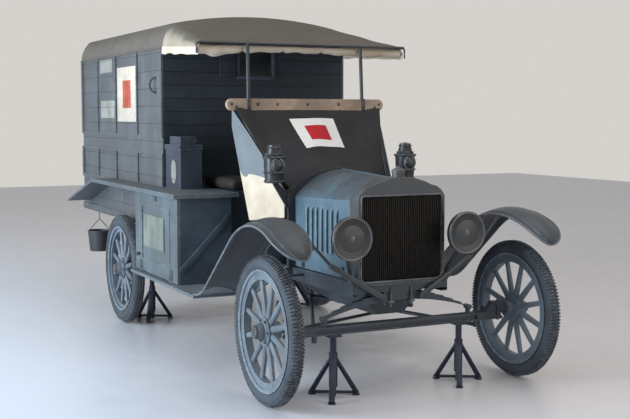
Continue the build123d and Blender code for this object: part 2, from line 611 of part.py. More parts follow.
with BuildPart() as roof:
    with BuildSketch(cross_plane(BODY_FRONT)):
        with BuildLine():
            arch(0)
        make_face()
        with BuildLine():
            arch(ROOF_THICK)
        make_face(mode=Mode.SUBTRACT)
    extrude(amount=-(BODY_REAR + ROOF_OVERHANG - BODY_FRONT))
save(roof.part, "roof")

# A small window in the front wall lets the driver look back
WINDOW_HALF = 120
WINDOW_BOTTOM, WINDOW_TOP = 1738, 1935
with BuildPart() as front_wall:
    with BuildSketch(cross_plane(BODY_FRONT)):
        with BuildLine():
            arch(ROOF_THICK + 0.5)
        make_face()
        with BuildLine():
            Polyline((-BODY_HALF, EAVE_Z), (-BODY_HALF, BODY_BOTTOM), (BODY_HALF, BODY_BOTTOM), (BODY_HALF, EAVE_Z),
                     close=True)
        make_face()
    extrude(amount=-WALL)
    box(-WINDOW_HALF, WINDOW_HALF, BODY_FRONT, BODY_FRONT + WALL, WINDOW_BOTTOM, WINDOW_TOP, mode=Mode.SUBTRACT)
save(front_wall.part, "front_wall")

TAIL_TOP = 1180
SILL_TOP = BODY_BOTTOM + 22
TAIL_HINGE_Z = SILL_TOP + 6
POST = 70
with BuildPart() as rear_frame:
    with BuildSketch(cross_plane(BODY_REAR - WALL)):
        with BuildLine():
            arch(ROOF_THICK + 0.5)
        make_face()
        with BuildLine():
            Polyline((-BODY_HALF, EAVE_Z), (-BODY_HALF, BODY_BOTTOM), (BODY_HALF, BODY_BOTTOM), (BODY_HALF, EAVE_Z),
                     close=True)
        make_face()
        with Locations((0, (EAVE_Z - 60 + BODY_BOTTOM) / 2)):
            Rectangle(2 * (BODY_HALF - POST), EAVE_Z - 60 - BODY_BOTTOM, mode=Mode.SUBTRACT)
        with Locations((0, BODY_BOTTOM + 11)):
            Rectangle(2 * (BODY_HALF - POST), SILL_TOP - BODY_BOTTOM)
    extrude(amount=-WALL)
save(rear_frame.part, "rear_frame")

with BuildPart() as tailboard:
    box(-BODY_HALF + POST + 5, BODY_HALF - POST - 5, BODY_REAR - WALL, BODY_REAR, TAIL_HINGE_Z, TAIL_TOP)
    for x in (-420, -20, 380):
        rod(point(x, BODY_REAR, TAIL_HINGE_Z), point(x + 40, BODY_REAR, TAIL_HINGE_Z),
            TAIL_HINGE_Z - SILL_TOP - RUN_GAP)
    for x in (-400, 0, 400):
        box(x - 170, x + 170, BODY_REAR - 5, BODY_REAR + 1, TAIL_HINGE_Z + 55, TAIL_TOP - 55, mode=Mode.SUBTRACT)
save(tailboard.part, "tailboard")

CURTAIN_ROLL = 42
with BuildPart() as rear_curtain:
    roll_y = BODY_REAR - WALL - CURTAIN_ROLL - RUN_GAP
    rod(point(-BODY_HALF + POST, roll_y, EAVE_Z - 50), point(BODY_HALF - POST, roll_y, EAVE_Z - 50), CURTAIN_ROLL)
save(rear_curtain.part, "rear_curtain")

# Canopy over the driver, from the arched front wall to a straight rod
CANOPY_SKIN = 8
CANOPY_ENDS = (
    # station, half width, eave height, corner width, shoulder rise, crown rise
    (BODY_FRONT - RUN_GAP, BODY_HALF, EAVE_Z, ROOF_CORNER, ROOF_SHOULDER, CROWN_Z - EAVE_Z),
    (ROD_Y + ROD_RADIUS + RUN_GAP, 700, ROD_Z - 40, 30, 50, 54),
)
with BuildPart() as canopy:
    for station, half, eave, corner, shoulder, crown in CANOPY_ENDS:
        outer_arcs = (
            ((half, eave), (half - 0.28 * corner, eave + 0.56 * shoulder), (half - corner, eave + shoulder)),
            ((half - corner, eave + shoulder), (0, eave + crown), (corner - half, eave + shoulder)),
            ((corner - half, eave + shoulder), (0.28 * corner - half, eave + 0.56 * shoulder),
             (-half, eave)),
        )
        skin = CANOPY_SKIN
        inner_arcs = (
            ((skin - half, eave), (0.28 * corner - half + skin, eave + 0.56 * shoulder - skin / 2),
             (corner - half, eave + shoulder - skin)),
            ((corner - half, eave + shoulder - skin), (0, eave + crown - skin), (half - corner, eave + shoulder - skin)),
            ((half - corner, eave + shoulder - skin), (half - 0.28 * corner - skin, eave + 0.56 * shoulder - skin / 2),
             (half - skin, eave)),
        )
        with BuildSketch(cross_plane(station)):
            with BuildLine():
                for arc in outer_arcs:
                    ThreePointArc(*arc)
                Line((-half, eave), (skin - half, eave))
                for arc in inner_arcs:
                    ThreePointArc(*arc)
                Line((half - skin, eave), (half, eave))
            make_face()
    loft()
save(canopy.part, "canopy")

# Canopy frame: windscreen bar, stays to the firewall, two posts and the front rod
with BuildPart() as canopy_frame:
    with BuildSketch(cross_plane(BAR_Y - BAR_THICK / 2)):
        with Locations((0, BAR_Z)):
            SlotOverall(2 * BAR_HALF, BAR_HEIGHT)
    extrude(amount=-BAR_THICK)
    rod(point(-ROD_HALF, ROD_Y, ROD_Z), point(ROD_HALF, ROD_Y, ROD_Z), ROD_RADIUS)
    for side in (-1, 1):
        rod(point(side * 390, BAR_Y, BAR_Z), point(side * 386, ROD_Y, ROD_Z), 11)
        rod(point(side * 478, BAR_Y, BAR_Z), point(side * 335, FIREWALL + PANEL + 7.4, 1000), 9)
save(canopy_frame.part, "canopy_frame")

# Apron: waterproof sheet from the windscreen bar down over the firewall, and side curtains
with BuildPart() as apron:
    for station, half, edge, crown in (
        (BAR_Y - BAR_THICK / 2, 460, BAR_Z - BAR_HEIGHT / 2 - RUN_GAP - 4, 4),
        (FIREWALL + PANEL + RUN_GAP, FIREWALL_HALF - 30, 1046, 116),
    ):
        with BuildSketch(cross_plane(station)):
            with BuildLine():
                ThreePointArc((half, edge), (0, edge + crown), (-half, edge))
                Line((-half, edge), (-half, edge - 8))
                ThreePointArc((-half, edge - 8), (0, edge + crown - 8), (half, edge - 8))
                Line((half, edge - 8), (half, edge))
            make_face()
    loft()
    for side in (-1, 1):
        for station, x, low, high in ((FIREWALL + PANEL + 2, FIREWALL_HALF + 8, 884, 1030), (973, 445, 846, 1330),
                                      (BAR_Y, 492, 1400, BAR_Z - BAR_HEIGHT / 2 - RUN_GAP)):
            with BuildSketch(cross_plane(station)):
                with BuildLine():
                    Polyline((side * x, low), (side * x, high), (side * (x + 6), high), (side * (x + 6), low), close=True)
                make_face()
        loft(ruled=True)
save(apron.part, "apron")

# Cab floor with its sloping toe board and the seat box
SEAT_FRONT = 1330
with BuildPart() as cab_floor:
    with BuildSketch(side_plane(-DECK_HALF)):
        with BuildLine():
            Polyline((FIREWALL + PANEL, 800), (FIREWALL + 40, 800), (840, FRAME_TOP + WALL),
                     (BODY_FRONT, FRAME_TOP + WALL), (BODY_FRONT, FRAME_TOP), (830, FRAME_TOP), close=True)
        make_face()
    extrude(amount=2 * DECK_HALF)
    rod(column_foot, column_top, 26, mode=Mode.SUBTRACT)
    box(-DECK_HALF, DECK_HALF, SEAT_FRONT, BODY_FRONT, FRAME_TOP + WALL, SHELF_TOP)
    box(-DECK_HALF + WALL, DECK_HALF - WALL, SEAT_FRONT + WALL, BODY_FRONT + 1, FRAME_TOP, SHELF_TOP - WALL,
        mode=Mode.SUBTRACT)
save(cab_floor.part, "cab_floor")

with BuildPart() as seat_cushion:
    box(-DECK_HALF + 8, DECK_HALF - 8, SEAT_FRONT + 10, BODY_FRONT - 70, SHELF_TOP + RUN_GAP, SHELF_TOP + 85)
    fillet(seat_cushion.edges().filter_by(Axis.Z), 30)
save(seat_cushion.part, "seat_cushion")

# Head lamps on forked brackets, and small side lamps on the firewall
LAMP_BOWL = 88
with BuildPart() as lamps:
    for side in (-1, 1):
        lamp_plane = Plane(origin=point(side * 348, 0, 845), x_dir=(0, 1, 0), z_dir=(side, 0, 0))
        with BuildSketch(lamp_plane):
            with BuildLine():
                Polyline((LAMP_BOWL - 104, 0), (-125, 0), (-138, 104), (-132, 114), (-112, 114), (-108, 102),
                         (-104, LAMP_BOWL))
                RadiusArc((-104, LAMP_BOWL), (LAMP_BOWL - 104, 0), LAMP_BOWL)
            make_face()
        revolve(axis=Axis(point(side * 348, 0, 845), (0, 1, 0)))
        rod(point(side * 285, 0, FRAME_TOP + 14), point(side * 348, -70, 760), 11)
        box(side * (RADIATOR_HALF + 2), side * FRAME_HALF, -20, 20, FRAME_TOP, FRAME_TOP + 12)
        rod(point(side * 285, 0, FRAME_TOP + 6), point(side * 285, 0, FRAME_TOP + 26), 12)
        side_centre = point(side * 431, FIREWALL + 7, 0)
        with BuildSketch(Plane(origin=side_centre, x_dir=(1, 0, 0), z_dir=(0, -1, 0))):
            with BuildLine():
                Polyline((0, 1090), (52, 1090), (56, 1150), (60, 1235), (46, 1250), (34, 1290), (34, 1304), (0, 1312),
                         close=True)
            make_face()
        revolve(axis=Axis(side_centre, (0, 0, 1)))
        with BuildSketch(cross_plane(FIREWALL + 1)):
            with BuildLine():
                Polyline((side * FIREWALL_HALF, 950), (side * FIREWALL_HALF, 1030), (side * 425, 1104),
                         (side * 437, 1104), (side * 437, 1080), (side * (FIREWALL_HALF + 12), 950), close=True)
            make_face()
        extrude(amount=-12)
save(lamps.part, "lamps")

# Chest on the right shelf with a small box on its lid
CHEST_INNER = -BODY_HALF + 154
CHEST_FRONT, CHEST_REAR = 1600, 1905
CHEST_LID = 1255
with BuildPart() as chest:
    box(-BODY_HALF + 6, CHEST_INNER - 6, CHEST_FRONT + 6, CHEST_REAR - 6, SHELF_TOP, CHEST_LID)
    box(-BODY_HALF, CHEST_INNER, CHEST_FRONT, CHEST_REAR, CHEST_LID, CHEST_LID + 28)
    box(-BODY_HALF + 19, CHEST_INNER - 30, CHEST_FRONT + 40, CHEST_REAR - 55, CHEST_LID + 28, CHEST_LID + 80)
save(chest.part, "chest")

# Pail that hangs under the rear of the body on two wires
PAIL_X, PAIL_Y = 24 - BODY_HALF, 3660
with BuildPart() as pail:
    pail_centre = point(PAIL_X, PAIL_Y, 0)
    with BuildSketch(Plane(origin=pail_centre, x_dir=(1, 0, 0), z_dir=(0, -1, 0))):
        with BuildLine():
            Polyline((0, 382), (78, 382), (95, 548), (91, 548), (75, 386), (0, 386), close=True)
        make_face()
    revolve(axis=Axis(pail_centre, (0, 0, 1)))
    for side in (-1, 1):
        rod(point(PAIL_X + side * 93, PAIL_Y, 540), point(PAIL_X, PAIL_Y, 640), 3)
    rod(point(PAIL_X, PAIL_Y, 636), point(PAIL_X, PAIL_Y, BODY_BOTTOM), 3)
save(pail.part, "pail")

# Axle stands: a tripod with a post and a saddle under each axle
STANDS = (
    # x, station, saddle height
    (389, 0, 335),
    (AXLE_END - 95, WHEELBASE, HUB_Z - REAR_TUBE),
)
STAND_COLLAR = 225
with BuildPart() as axle_stands:
    for x, station, top in STANDS:
        for side in (-1, 1):
            foot = point(side * x, station, 0)
            rod(foot + Vector(0, 0, 60), foot + Vector(0, 0, top - 8), 17)
            rod(foot + Vector(0, 0, 60), foot + Vector(0, 0, STAND_COLLAR + 15), 23)
            with Locations(foot + Vector(0, 0, top - 6)):
                Box(70, 60, 12)
            for leg in range(3):
                angle = radians(120 * leg - 120)
                tip = foot + Vector(135 * cos(angle), 135 * sin(angle), 9)
                rod(foot + Vector(0, 0, STAND_COLLAR), tip, 9)
                with Locations(tip - Vector(0, 0, 9)):
                    Cylinder(20, 8, align=(Align.CENTER, Align.CENTER, Align.MIN))
save(axle_stands.part, "axle_stands")
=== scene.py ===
"""Looks of a light military ambulance truck of the 1910s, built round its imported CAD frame.

Metres, +Z up. The front faces -Y and the vehicle's right side faces -X, as in the frame.
"""

import cmath
import json
import logging
import math
from dataclasses import dataclass
from enum import Enum
from functools import cache, reduce
from typing import Any, Iterable, Mapping, Sequence

import bmesh
import bpy
import numpy as np
from mathutils import Euler, Matrix, Vector

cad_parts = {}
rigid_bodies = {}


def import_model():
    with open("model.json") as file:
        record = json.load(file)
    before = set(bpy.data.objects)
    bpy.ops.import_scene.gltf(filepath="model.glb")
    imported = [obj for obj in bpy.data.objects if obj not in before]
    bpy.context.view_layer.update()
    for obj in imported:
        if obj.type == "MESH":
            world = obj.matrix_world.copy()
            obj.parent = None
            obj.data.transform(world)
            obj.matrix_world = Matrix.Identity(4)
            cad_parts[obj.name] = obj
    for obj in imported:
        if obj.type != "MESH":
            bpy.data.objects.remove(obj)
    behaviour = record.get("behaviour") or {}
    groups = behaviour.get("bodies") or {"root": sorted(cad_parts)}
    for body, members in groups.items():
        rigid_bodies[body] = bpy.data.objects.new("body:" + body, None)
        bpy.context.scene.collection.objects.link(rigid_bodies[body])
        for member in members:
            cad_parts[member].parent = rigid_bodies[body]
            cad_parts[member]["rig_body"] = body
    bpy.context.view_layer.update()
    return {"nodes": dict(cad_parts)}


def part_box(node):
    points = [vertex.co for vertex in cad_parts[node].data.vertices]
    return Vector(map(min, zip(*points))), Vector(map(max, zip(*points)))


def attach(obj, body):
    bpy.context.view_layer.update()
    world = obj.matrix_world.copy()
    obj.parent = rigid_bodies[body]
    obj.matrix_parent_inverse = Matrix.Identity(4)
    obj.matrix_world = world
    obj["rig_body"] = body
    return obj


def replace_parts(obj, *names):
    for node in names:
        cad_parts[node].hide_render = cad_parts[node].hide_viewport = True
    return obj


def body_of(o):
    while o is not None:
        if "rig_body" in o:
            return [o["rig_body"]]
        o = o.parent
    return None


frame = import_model()
LOG = logging.getLogger("ambulance")

Mesh = bpy.types.Mesh
Socket = bpy.types.NodeSocket
Colour = tuple[float, float, float]
Spot = tuple[float, float, float]
Pair = tuple[float, float]

SEED = 1916
SIDES = ((-1, "right"), (1, "left"))
PLACES = ("front_right", "front_left", "rear_right", "rear_left")
AHEAD, UP = Vector((0, -1, 0)), Vector((0, 0, 1))


@dataclass(frozen=True)
class Layout:
    """The vehicle's main sizes, its stations behind the front axle and its heights."""

    axle_y: float
    wheelbase: float = 2.540
    body_half: float = 0.664
    body_front: float = 1.925
    body_rear: float = 4.030
    eave: float = 1.910
    crown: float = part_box("roof")[1].z
    firewall: float = 0.650
    bar_station: float = 1.125
    bar_z: float = 1.537
    rod_station: float = 1.144
    rod_z: float = 1.905
    shelf_top: float = 1.000

    def at(self, x: float, station: float, z: float) -> Vector:
        """Point in the frame from X, the station behind the front axle, and Z."""
        return Vector((x, self.axle_y + station, z))


def box_middle(node: str) -> Vector:
    """Middle of a CAD node's box."""
    low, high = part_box(node)
    return (low + high) / 2


LAY = Layout(axle_y=box_middle("wheel_front_right").y)


class Graph:
    """A node tree with short calls that add nodes and join them."""

    def __init__(self, tree: bpy.types.NodeTree) -> None:
        """Keep the tree that the calls add to."""
        self.tree = tree

    def fill(self, sockets: Any, values: Mapping[Any, Any]) -> None:
        """Link sockets, or set constants on them.

        Args:
            sockets: The inputs that take the values.
            values: Other nodes' output sockets, or constants, by the input's name or number.
        """
        for key, value in values.items():
            if isinstance(value, Socket):
                self.tree.links.new(value, sockets[key])
            else:
                sockets[key].default_value = value

    def add(self, kind: str, values: Mapping[Any, Any] | None = None, **settings: Any) -> bpy.types.Node:
        """Add one node.

        Args:
            kind: The node's type name.
            values: Input names or numbers, with sockets or constants.
            **settings: Attributes of the node, such as operation.

        Returns:
            The new node.
        """
        node = self.tree.nodes.new(kind)
        for key, value in settings.items():
            setattr(node, key, value)
        self.fill(node.inputs, values or {})
        return node

    def use(self, tree: bpy.types.NodeTree, **values: Any) -> Any:
        """Outputs of a shader node group that is fed the values."""
        return self.add("ShaderNodeGroup", values, node_tree=tree).outputs

    def math(self, operation: str, *terms: Any) -> Socket:
        """Result of a Math node on one to three terms."""
        return self.add("ShaderNodeMath", dict(enumerate(terms)), operation=operation).outputs[0]

    def times(self, *terms: Any) -> Socket:
        """Product of all terms."""
        return reduce(lambda first, second: self.math("MULTIPLY", first, second), terms)

    def blend(self, share: Any, first: Any, second: Any) -> Socket:
        """Colour that goes from first to second by share."""
        return self.add("ShaderNodeMix", {0: share, 6: first, 7: second}, data_type="RGBA").outputs[2]

    def ramp(self, value: Any, low: float, high: float, to_low: float = 0.0, to_high: float = 1.0) -> Socket:
        """Value mapped smoothly from low..high to to_low..to_high."""
        return self.add("ShaderNodeMapRange", {0: value, 1: low, 2: high, 3: to_low, 4: to_high},
                        interpolation_type="SMOOTHSTEP").outputs[0]

    def noise(self, vector: Any, scale: float, detail: float, roughness: float,
              stretch: Spot | None = None) -> Socket:
        """Noise value at a vector, which may be scaled along each axis first.

        Args:
            vector: Place that the noise is read at.
            scale: How fine the noise is.
            detail: Number of its octaves.
            roughness: Strength of each octave against the one before.
            stretch: Scale of the vector along each axis.

        Returns:
            The noise from 0 to 1.
        """
        if stretch:
            scaled = self.add("ShaderNodeVectorMath", {0: vector, 1: stretch}, operation="MULTIPLY")
            vector = scaled.outputs[0]
        return self.add("ShaderNodeTexNoise", {"Vector": vector, "Scale": scale, "Detail": detail,
                                               "Roughness": roughness}).outputs[0]

    def axis(self, vector: Any, number: int) -> Socket:
        """One coordinate of a vector."""
        return self.add("ShaderNodeSeparateXYZ", {0: vector}).outputs[number]


def node_group(name: str, kind: str, inputs: Mapping[str, str],
               outputs: Mapping[str, str]) -> tuple[Graph, Any, Any]:
    """Make an empty node group.

    Args:
        name: The group's name.
        kind: "Shader" or "Geometry".
        inputs: Kind of each input socket by name.
        outputs: Kind of each output socket by name.

    Returns:
        The group's graph, the sockets that give its inputs, and those that take its outputs.
    """
    tree = bpy.data.node_groups.new(name, f"{kind}NodeTree")
    for way, sockets in (("INPUT", inputs), ("OUTPUT", outputs)):
        for label, sort in sockets.items():
            tree.interface.new_socket(label, in_out=way, socket_type=f"NodeSocket{sort}")
    graph = Graph(tree)
    return graph, graph.add("NodeGroupInput").outputs, graph.add("NodeGroupOutput").inputs


@cache
def edge_wear_and_highlight() -> bpy.types.NodeTree:
    """Group that masks edges, from how far a rounded normal leaves the true one: rubbed edges, and on the
    louvers a painted highlight.

    Returns:
        The group's tree, made once.
    """
    g, given, result = node_group("edge wear and highlight", "Shader", {"Vector": "Vector", "Amount": "Float"},
                                  {"Mask": "Float"})
    rounded = g.add("ShaderNodeBevel", {"Radius": 0.006}, samples=4).outputs[0]
    true = g.add("ShaderNodeNewGeometry").outputs["Normal"]
    match = g.add("ShaderNodeVectorMath", {0: rounded, 1: true}, operation="DOT_PRODUCT").outputs["Value"]
    edge = g.ramp(g.math("SUBTRACT", 1.0, match), 0.01, 0.14)
    broken = g.ramp(g.noise(given["Vector"], 38.0, 5.0, 0.7), 0.42, 0.60)
    g.fill(result, {"Mask": g.times(edge, broken, given["Amount"])})
    return g.tree


@cache
def dust_and_top_shade() -> bpy.types.NodeTree:
    """Group that masks what faces up: dusty tops on most finishes, and a painted shade on the tops of some.

    Returns:
        The group's tree, made once.
    """
    g, given, result = node_group("dust_and_top_shade", "Shader", {"Vector": "Vector", "Amount": "Float"},
                                  {"Mask": "Float"})
    up = g.axis(g.add("ShaderNodeTexCoord").outputs["Normal"], 2)
    cloud = g.ramp(g.noise(given["Vector"], 5.0, 5.0, 0.6), 0.30, 0.72, 0.35, 1.0)
    g.fill(result, {"Mask": g.times(g.ramp(up, 0.15, 0.95), cloud, given["Amount"])})
    return g.tree


@cache
def board_seams() -> bpy.types.NodeTree:
    """Group for boards: the gap between them, and a tone of its own for each.

    Returns:
        The group's tree, made once.
    """
    g, given, result = node_group("board seams", "Shader",
                                  {"Along": "Float", "Pitch": "Float", "Width": "Float"},
                                  {"Seam": "Float", "Tone": "Float"})
    turn = g.math("DIVIDE", given["Along"], given["Pitch"])
    part = g.math("FRACT", turn)
    away = g.times(g.math("MINIMUM", part, g.math("SUBTRACT", 1.0, part)), given["Pitch"])
    gap = g.math("SUBTRACT", 1.0, g.ramp(g.math("DIVIDE", away, given["Width"]), 0.25, 1.0))
    tone = g.add("ShaderNodeTexWhiteNoise", {"W": g.math("FLOOR", turn)}, noise_dimensions="1D").outputs[0]
    g.fill(result, {"Seam": gap, "Tone": tone})
    return g.tree


@cache
def weave() -> bpy.types.NodeTree:
    """Group for plain woven cloth: the height of threads that cross.

    Returns:
        The group's tree, made once.
    """
    g, given, result = node_group("weave", "Shader", {"Vector": "Vector", "Thread": "Float"},
                                  {"Height": "Float"})
    turn = g.math("DIVIDE", 2 * math.pi, given["Thread"])
    warp, weft = (g.math("SINE", g.times(g.axis(given["Vector"], k), turn)) for k in (0, 1))
    g.fill(result, {"Height": g.times(warp, weft)})
    return g.tree


def tinted(colour: Colour, share: float = 1.0, lift: float = 0.0) -> tuple[float, ...]:
    """Colour scaled and lifted, with full alpha."""
    return (*(min(1.0, c * share + lift) for c in colour), 1.0)


class Boards(Enum):
    """The way a finish's boards are laid, as the axis that their seams step along."""

    NONE = -1
    ACROSS = 0
    LEVEL = 2


@dataclass(frozen=True)
class Finish:
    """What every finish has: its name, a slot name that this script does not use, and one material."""

    name: str
    slot: str

    def material(self) -> bpy.types.Material:
        """The finish's material, made once and kept by name.

        Returns:
            The material.
        """
        if self.name not in bpy.data.materials:
            made = bpy.data.materials.new(self.name)
            made.use_nodes = True
            g = Graph(made.node_tree)
            g.fill(made.node_tree.nodes["Principled BSDF"].inputs, self.nodes(g, g.add("ShaderNodeTexCoord")))
        return bpy.data.materials[self.name]

    def nodes(self, g: Graph, places: bpy.types.Node) -> dict[str, Any]:
        """Values for the shader's inputs. Each finish has its own."""
        return {}


@dataclass(frozen=True)
class Paint(Finish):
    """Paint on metal or wood, rubbed at its edges and dusty on its tops. On the louvers the edge mask lays a
    painted highlight, and on the bonnet the up-facing mask lays a painted shade.
    """

    base: Colour = (0.1, 0.1, 0.1)
    roughness: float = 0.55
    # Colour and amount of the edge mask: rubbed paint, and on the louvers a painted highlight.
    worn_and_highlight_colour: Colour = (0.30, 0.29, 0.27)
    wear_and_highlight: float = 0.45
    # Amount of the up-facing mask: dusty tops, and on the bonnet a painted shade.
    dust_and_top_shade: float = 0.10
    mottle: float = 0.25
    boards: Boards = Boards.NONE
    pitch: float = 0.1
    gap: float = 0.004
    grain: float = 0.0
    streaks: float = 0.0
    metallic: float = 0.0
    bump: float = 0.12
    specular: float = 0.4
    # Colour that the up-facing mask lays: a dusty grey on most finishes, and a painted shade on the bonnet.
    dust_and_shade_colour: Colour = (0.26, 0.25, 0.24)

    def nodes(self, g: Graph, places: bpy.types.Node) -> dict[str, Any]:
        """Add the paint's nodes.

        Args:
            g: Graph of the material.
            places: Its texture coordinates.

        Returns:
            Values for the shader's inputs.
        """
        where = places.outputs["Object"]
        cloud = g.noise(where, 4.5, 6.0, 0.62)
        dark = tinted(self.base, 1 - self.mottle)
        colour = g.blend(g.ramp(cloud, 0.32, 0.68), dark, tinted(self.base, 1 + self.mottle))
        height = g.times(g.noise(where, 60.0, 4.0, 0.6), 0.25)
        if self.grain:
            lines = g.noise(where, 1.0, 4.0, 0.65, (40.0, 2.0, 90.0))
            colour = g.blend(g.ramp(lines, 0.40, 0.75, 0.0, self.grain), colour, dark)
            height = g.math("ADD", height, g.times(lines, 0.5))
        if self.streaks:
            run = g.noise(where, 1.0, 4.0, 0.6, (26.0, 26.0, 1.6))
            pale = tinted(self.base, 1.45, 0.03)
            colour = g.blend(g.ramp(run, 0.52, 0.78, 0.0, self.streaks), colour, pale)
        if self.boards is not Boards.NONE:
            along = g.axis(where, self.boards.value)
            seams = g.use(board_seams(), Along=along, Pitch=self.pitch, Width=self.gap)
            colour = g.blend(g.times(seams["Tone"], 0.28), colour, dark)
            colour = g.blend(g.times(seams["Seam"], 0.85), colour, tinted(self.base, 0.18))
            height = g.math("SUBTRACT", height, g.times(seams["Seam"], 3.0))
        # The edge mask lays rubbed paint, and on the louvers a painted highlight; the up-facing mask lays a
        # dusty grey, and on the bonnet a painted shade.
        bare_and_highlit = g.use(edge_wear_and_highlight(), Vector=where, Amount=self.wear_and_highlight)["Mask"]
        dust_and_top_shade_mask = g.use(dust_and_top_shade(), Vector=where, Amount=self.dust_and_top_shade)["Mask"]
        colour = g.blend(dust_and_top_shade_mask, g.blend(bare_and_highlit, colour, tinted(self.worn_and_highlight_colour)), tinted(self.dust_and_shade_colour))
        rough = g.ramp(cloud, 0.3, 0.7, self.roughness - 0.08, self.roughness + 0.10)
        bump = g.add("ShaderNodeBump", {"Strength": self.bump, "Distance": 0.002, "Height": height})
        return {"Base Color": colour, "Roughness": g.math("ADD", rough, g.times(dust_and_top_shade_mask, 0.25)),
                "Metallic": self.metallic, "Specular IOR Level": self.specular, "Normal": bump.outputs[0]}


@dataclass(frozen=True)
class Cloth(Finish):
    """Woven canvas, or coated cloth. Its threads follow the piece's own UV map in metres."""

    base: Colour = (0.1, 0.1, 0.1)
    stain: Colour = (0.1, 0.1, 0.1)
    roughness: float = 0.85
    stained: float = 0.5
    thread: float = 0.0016
    creases: float = 0.5
    # Darker colour, and its amount, on faces that point up: a painted shade on the roof's and canopy's tops.
    top_shade_colour: Colour = (0.10, 0.095, 0.088)
    top_shade: float = 0.0

    def nodes(self, g: Graph, places: bpy.types.Node) -> dict[str, Any]:
        """Add the cloth's nodes.

        Args:
            g: Graph of the material.
            places: Its texture coordinates.

        Returns:
            Values for the shader's inputs.
        """
        where = places.outputs["Object"]
        cloud = g.noise(where, 7.0, 5.0, 0.6)
        stains = g.ramp(g.noise(where, 2.6, 6.0, 0.65), 0.40, 0.68, 0.0, self.stained)
        colour = g.blend(stains, tinted(self.base), tinted(self.stain))
        colour = g.blend(g.ramp(cloud, 0.35, 0.75, 0.0, 0.30), colour, tinted(self.base, 0.62))
        threads = g.use(weave(), Vector=places.outputs["UV"], Thread=self.thread)["Height"]
        folds = g.noise(where, 1.0, 4.0, 0.55, (9.0, 14.0, 9.0))
        height = g.math("ADD", g.times(threads, 0.10), g.times(folds, 6.0 * self.creases))
        # Painted shade: faces that point up are darkened.
        dust_and_top_shade_mask = g.ramp(g.use(dust_and_top_shade(), Vector=where, Amount=self.top_shade)["Mask"], 0.0, 0.42)
        bump = g.add("ShaderNodeBump", {"Strength": 0.35, "Distance": 0.004, "Height": height})
        return {"Base Color": g.blend(dust_and_top_shade_mask, colour, tinted(self.top_shade_colour)),
                "Roughness": g.ramp(cloud, 0.3, 0.7, self.roughness - 0.08, self.roughness + 0.06),
                "Specular IOR Level": 0.25, "Normal": bump.outputs[0]}


@dataclass(frozen=True)
class Glass(Finish):
    """Old lamp glass, dull and a little dusty."""

    def nodes(self, g: Graph, places: bpy.types.Node) -> dict[str, Any]:
        """Values for the shader's inputs."""
        cloud = g.noise(places.outputs["Object"], 14.0, 4.0, 0.6)
        return {"Base Color": g.blend(cloud, tinted((0.012, 0.015, 0.016)), tinted((0.034, 0.038, 0.040))),
                "Roughness": g.ramp(cloud, 0.3, 0.7, 0.34, 0.50), "Coat Weight": 0.15}


@dataclass(frozen=True)
class Floor(Finish):
    """Pale, half glossy floor, with painted cool light towards the truck's right and painted warm light
    towards its left.
    """

    def nodes(self, g: Graph, places: bpy.types.Node) -> dict[str, Any]:
        """Add the floor's nodes.

        Args:
            g: Graph of the material.
            places: Its texture coordinates.

        Returns:
            Values for the shader's inputs.
        """
        where = places.outputs["Object"]
        # Painted light: the floor turns cool blue towards the truck's right (-X) and warm towards its left.
        painted_light_tint = g.blend(g.ramp(g.axis(where, 0), -3.0, 0.6), tinted((0.64, 0.75, 0.90)),
                       tinted((0.72, 0.68, 0.69)))
        cloud = g.ramp(g.noise(where, 0.9, 4.0, 0.6), 0.3, 0.7, 0.0, 0.2)
        return {"Base Color": g.blend(cloud, painted_light_tint, tinted((0.60, 0.60, 0.62))),
                "Roughness": g.ramp(g.noise(where, 6.0, 4.0, 0.6), 0.3, 0.7, 0.30, 0.42)}


SIDE_PAINT = Paint("side boards", "wood_paint", (0.096, 0.104, 0.112), 0.60, wear_and_highlight=0.55, boards=Boards.LEVEL,
                   pitch=0.118, gap=0.0026, grain=0.45, streaks=0.45, mottle=0.24, bump=0.35)
# Front wall and its shutter: board paint made far darker than the sides', a painted shade under the canopy.
SHADED_WALL_PAINT = Paint("front wall boards in painted shade", "wood_paint", (0.034, 0.043, 0.053), 0.62, (0.10, 0.11, 0.12), 0.20,
                   boards=Boards.LEVEL, pitch=0.088, gap=0.003, grain=0.4, mottle=0.2, bump=0.25, dust_and_top_shade=0.0,
                   specular=0.2)
WOOD_PAINT = Paint("painted wood", "wood_paint", (0.090, 0.113, 0.126), 0.56, (0.34, 0.36, 0.37), 0.85,
                   grain=0.45, streaks=0.4)
DARK_WOOD = Paint("dark painted wood", "wood_paint", (0.048, 0.066, 0.088), 0.55, (0.16, 0.18, 0.20), 0.6,
                  grain=0.35, specular=0.3)
CHEST_PAINT = Paint("chest paint", "wood_paint", (0.040, 0.050, 0.070), 0.55, (0.26, 0.27, 0.28), 0.9,
                    grain=0.35, specular=0.3)
FLOOR_BOARDS = Paint("floor boards", "wood_paint", (0.050, 0.056, 0.060), 0.7, wear_and_highlight=0.5, boards=Boards.ACROSS,
                     pitch=0.14, grain=0.5)
# Bonnet paint: its up-facing mask lays a darker blue, a painted shade on the bonnet's top.
METAL_PAINT = Paint("bonnet paint", "body_paint", (0.082, 0.135, 0.174), 0.42, wear_and_highlight=0.5, mottle=0.20,
                    streaks=0.10, dust_and_top_shade=1.5, dust_and_shade_colour=(0.050, 0.061, 0.072))
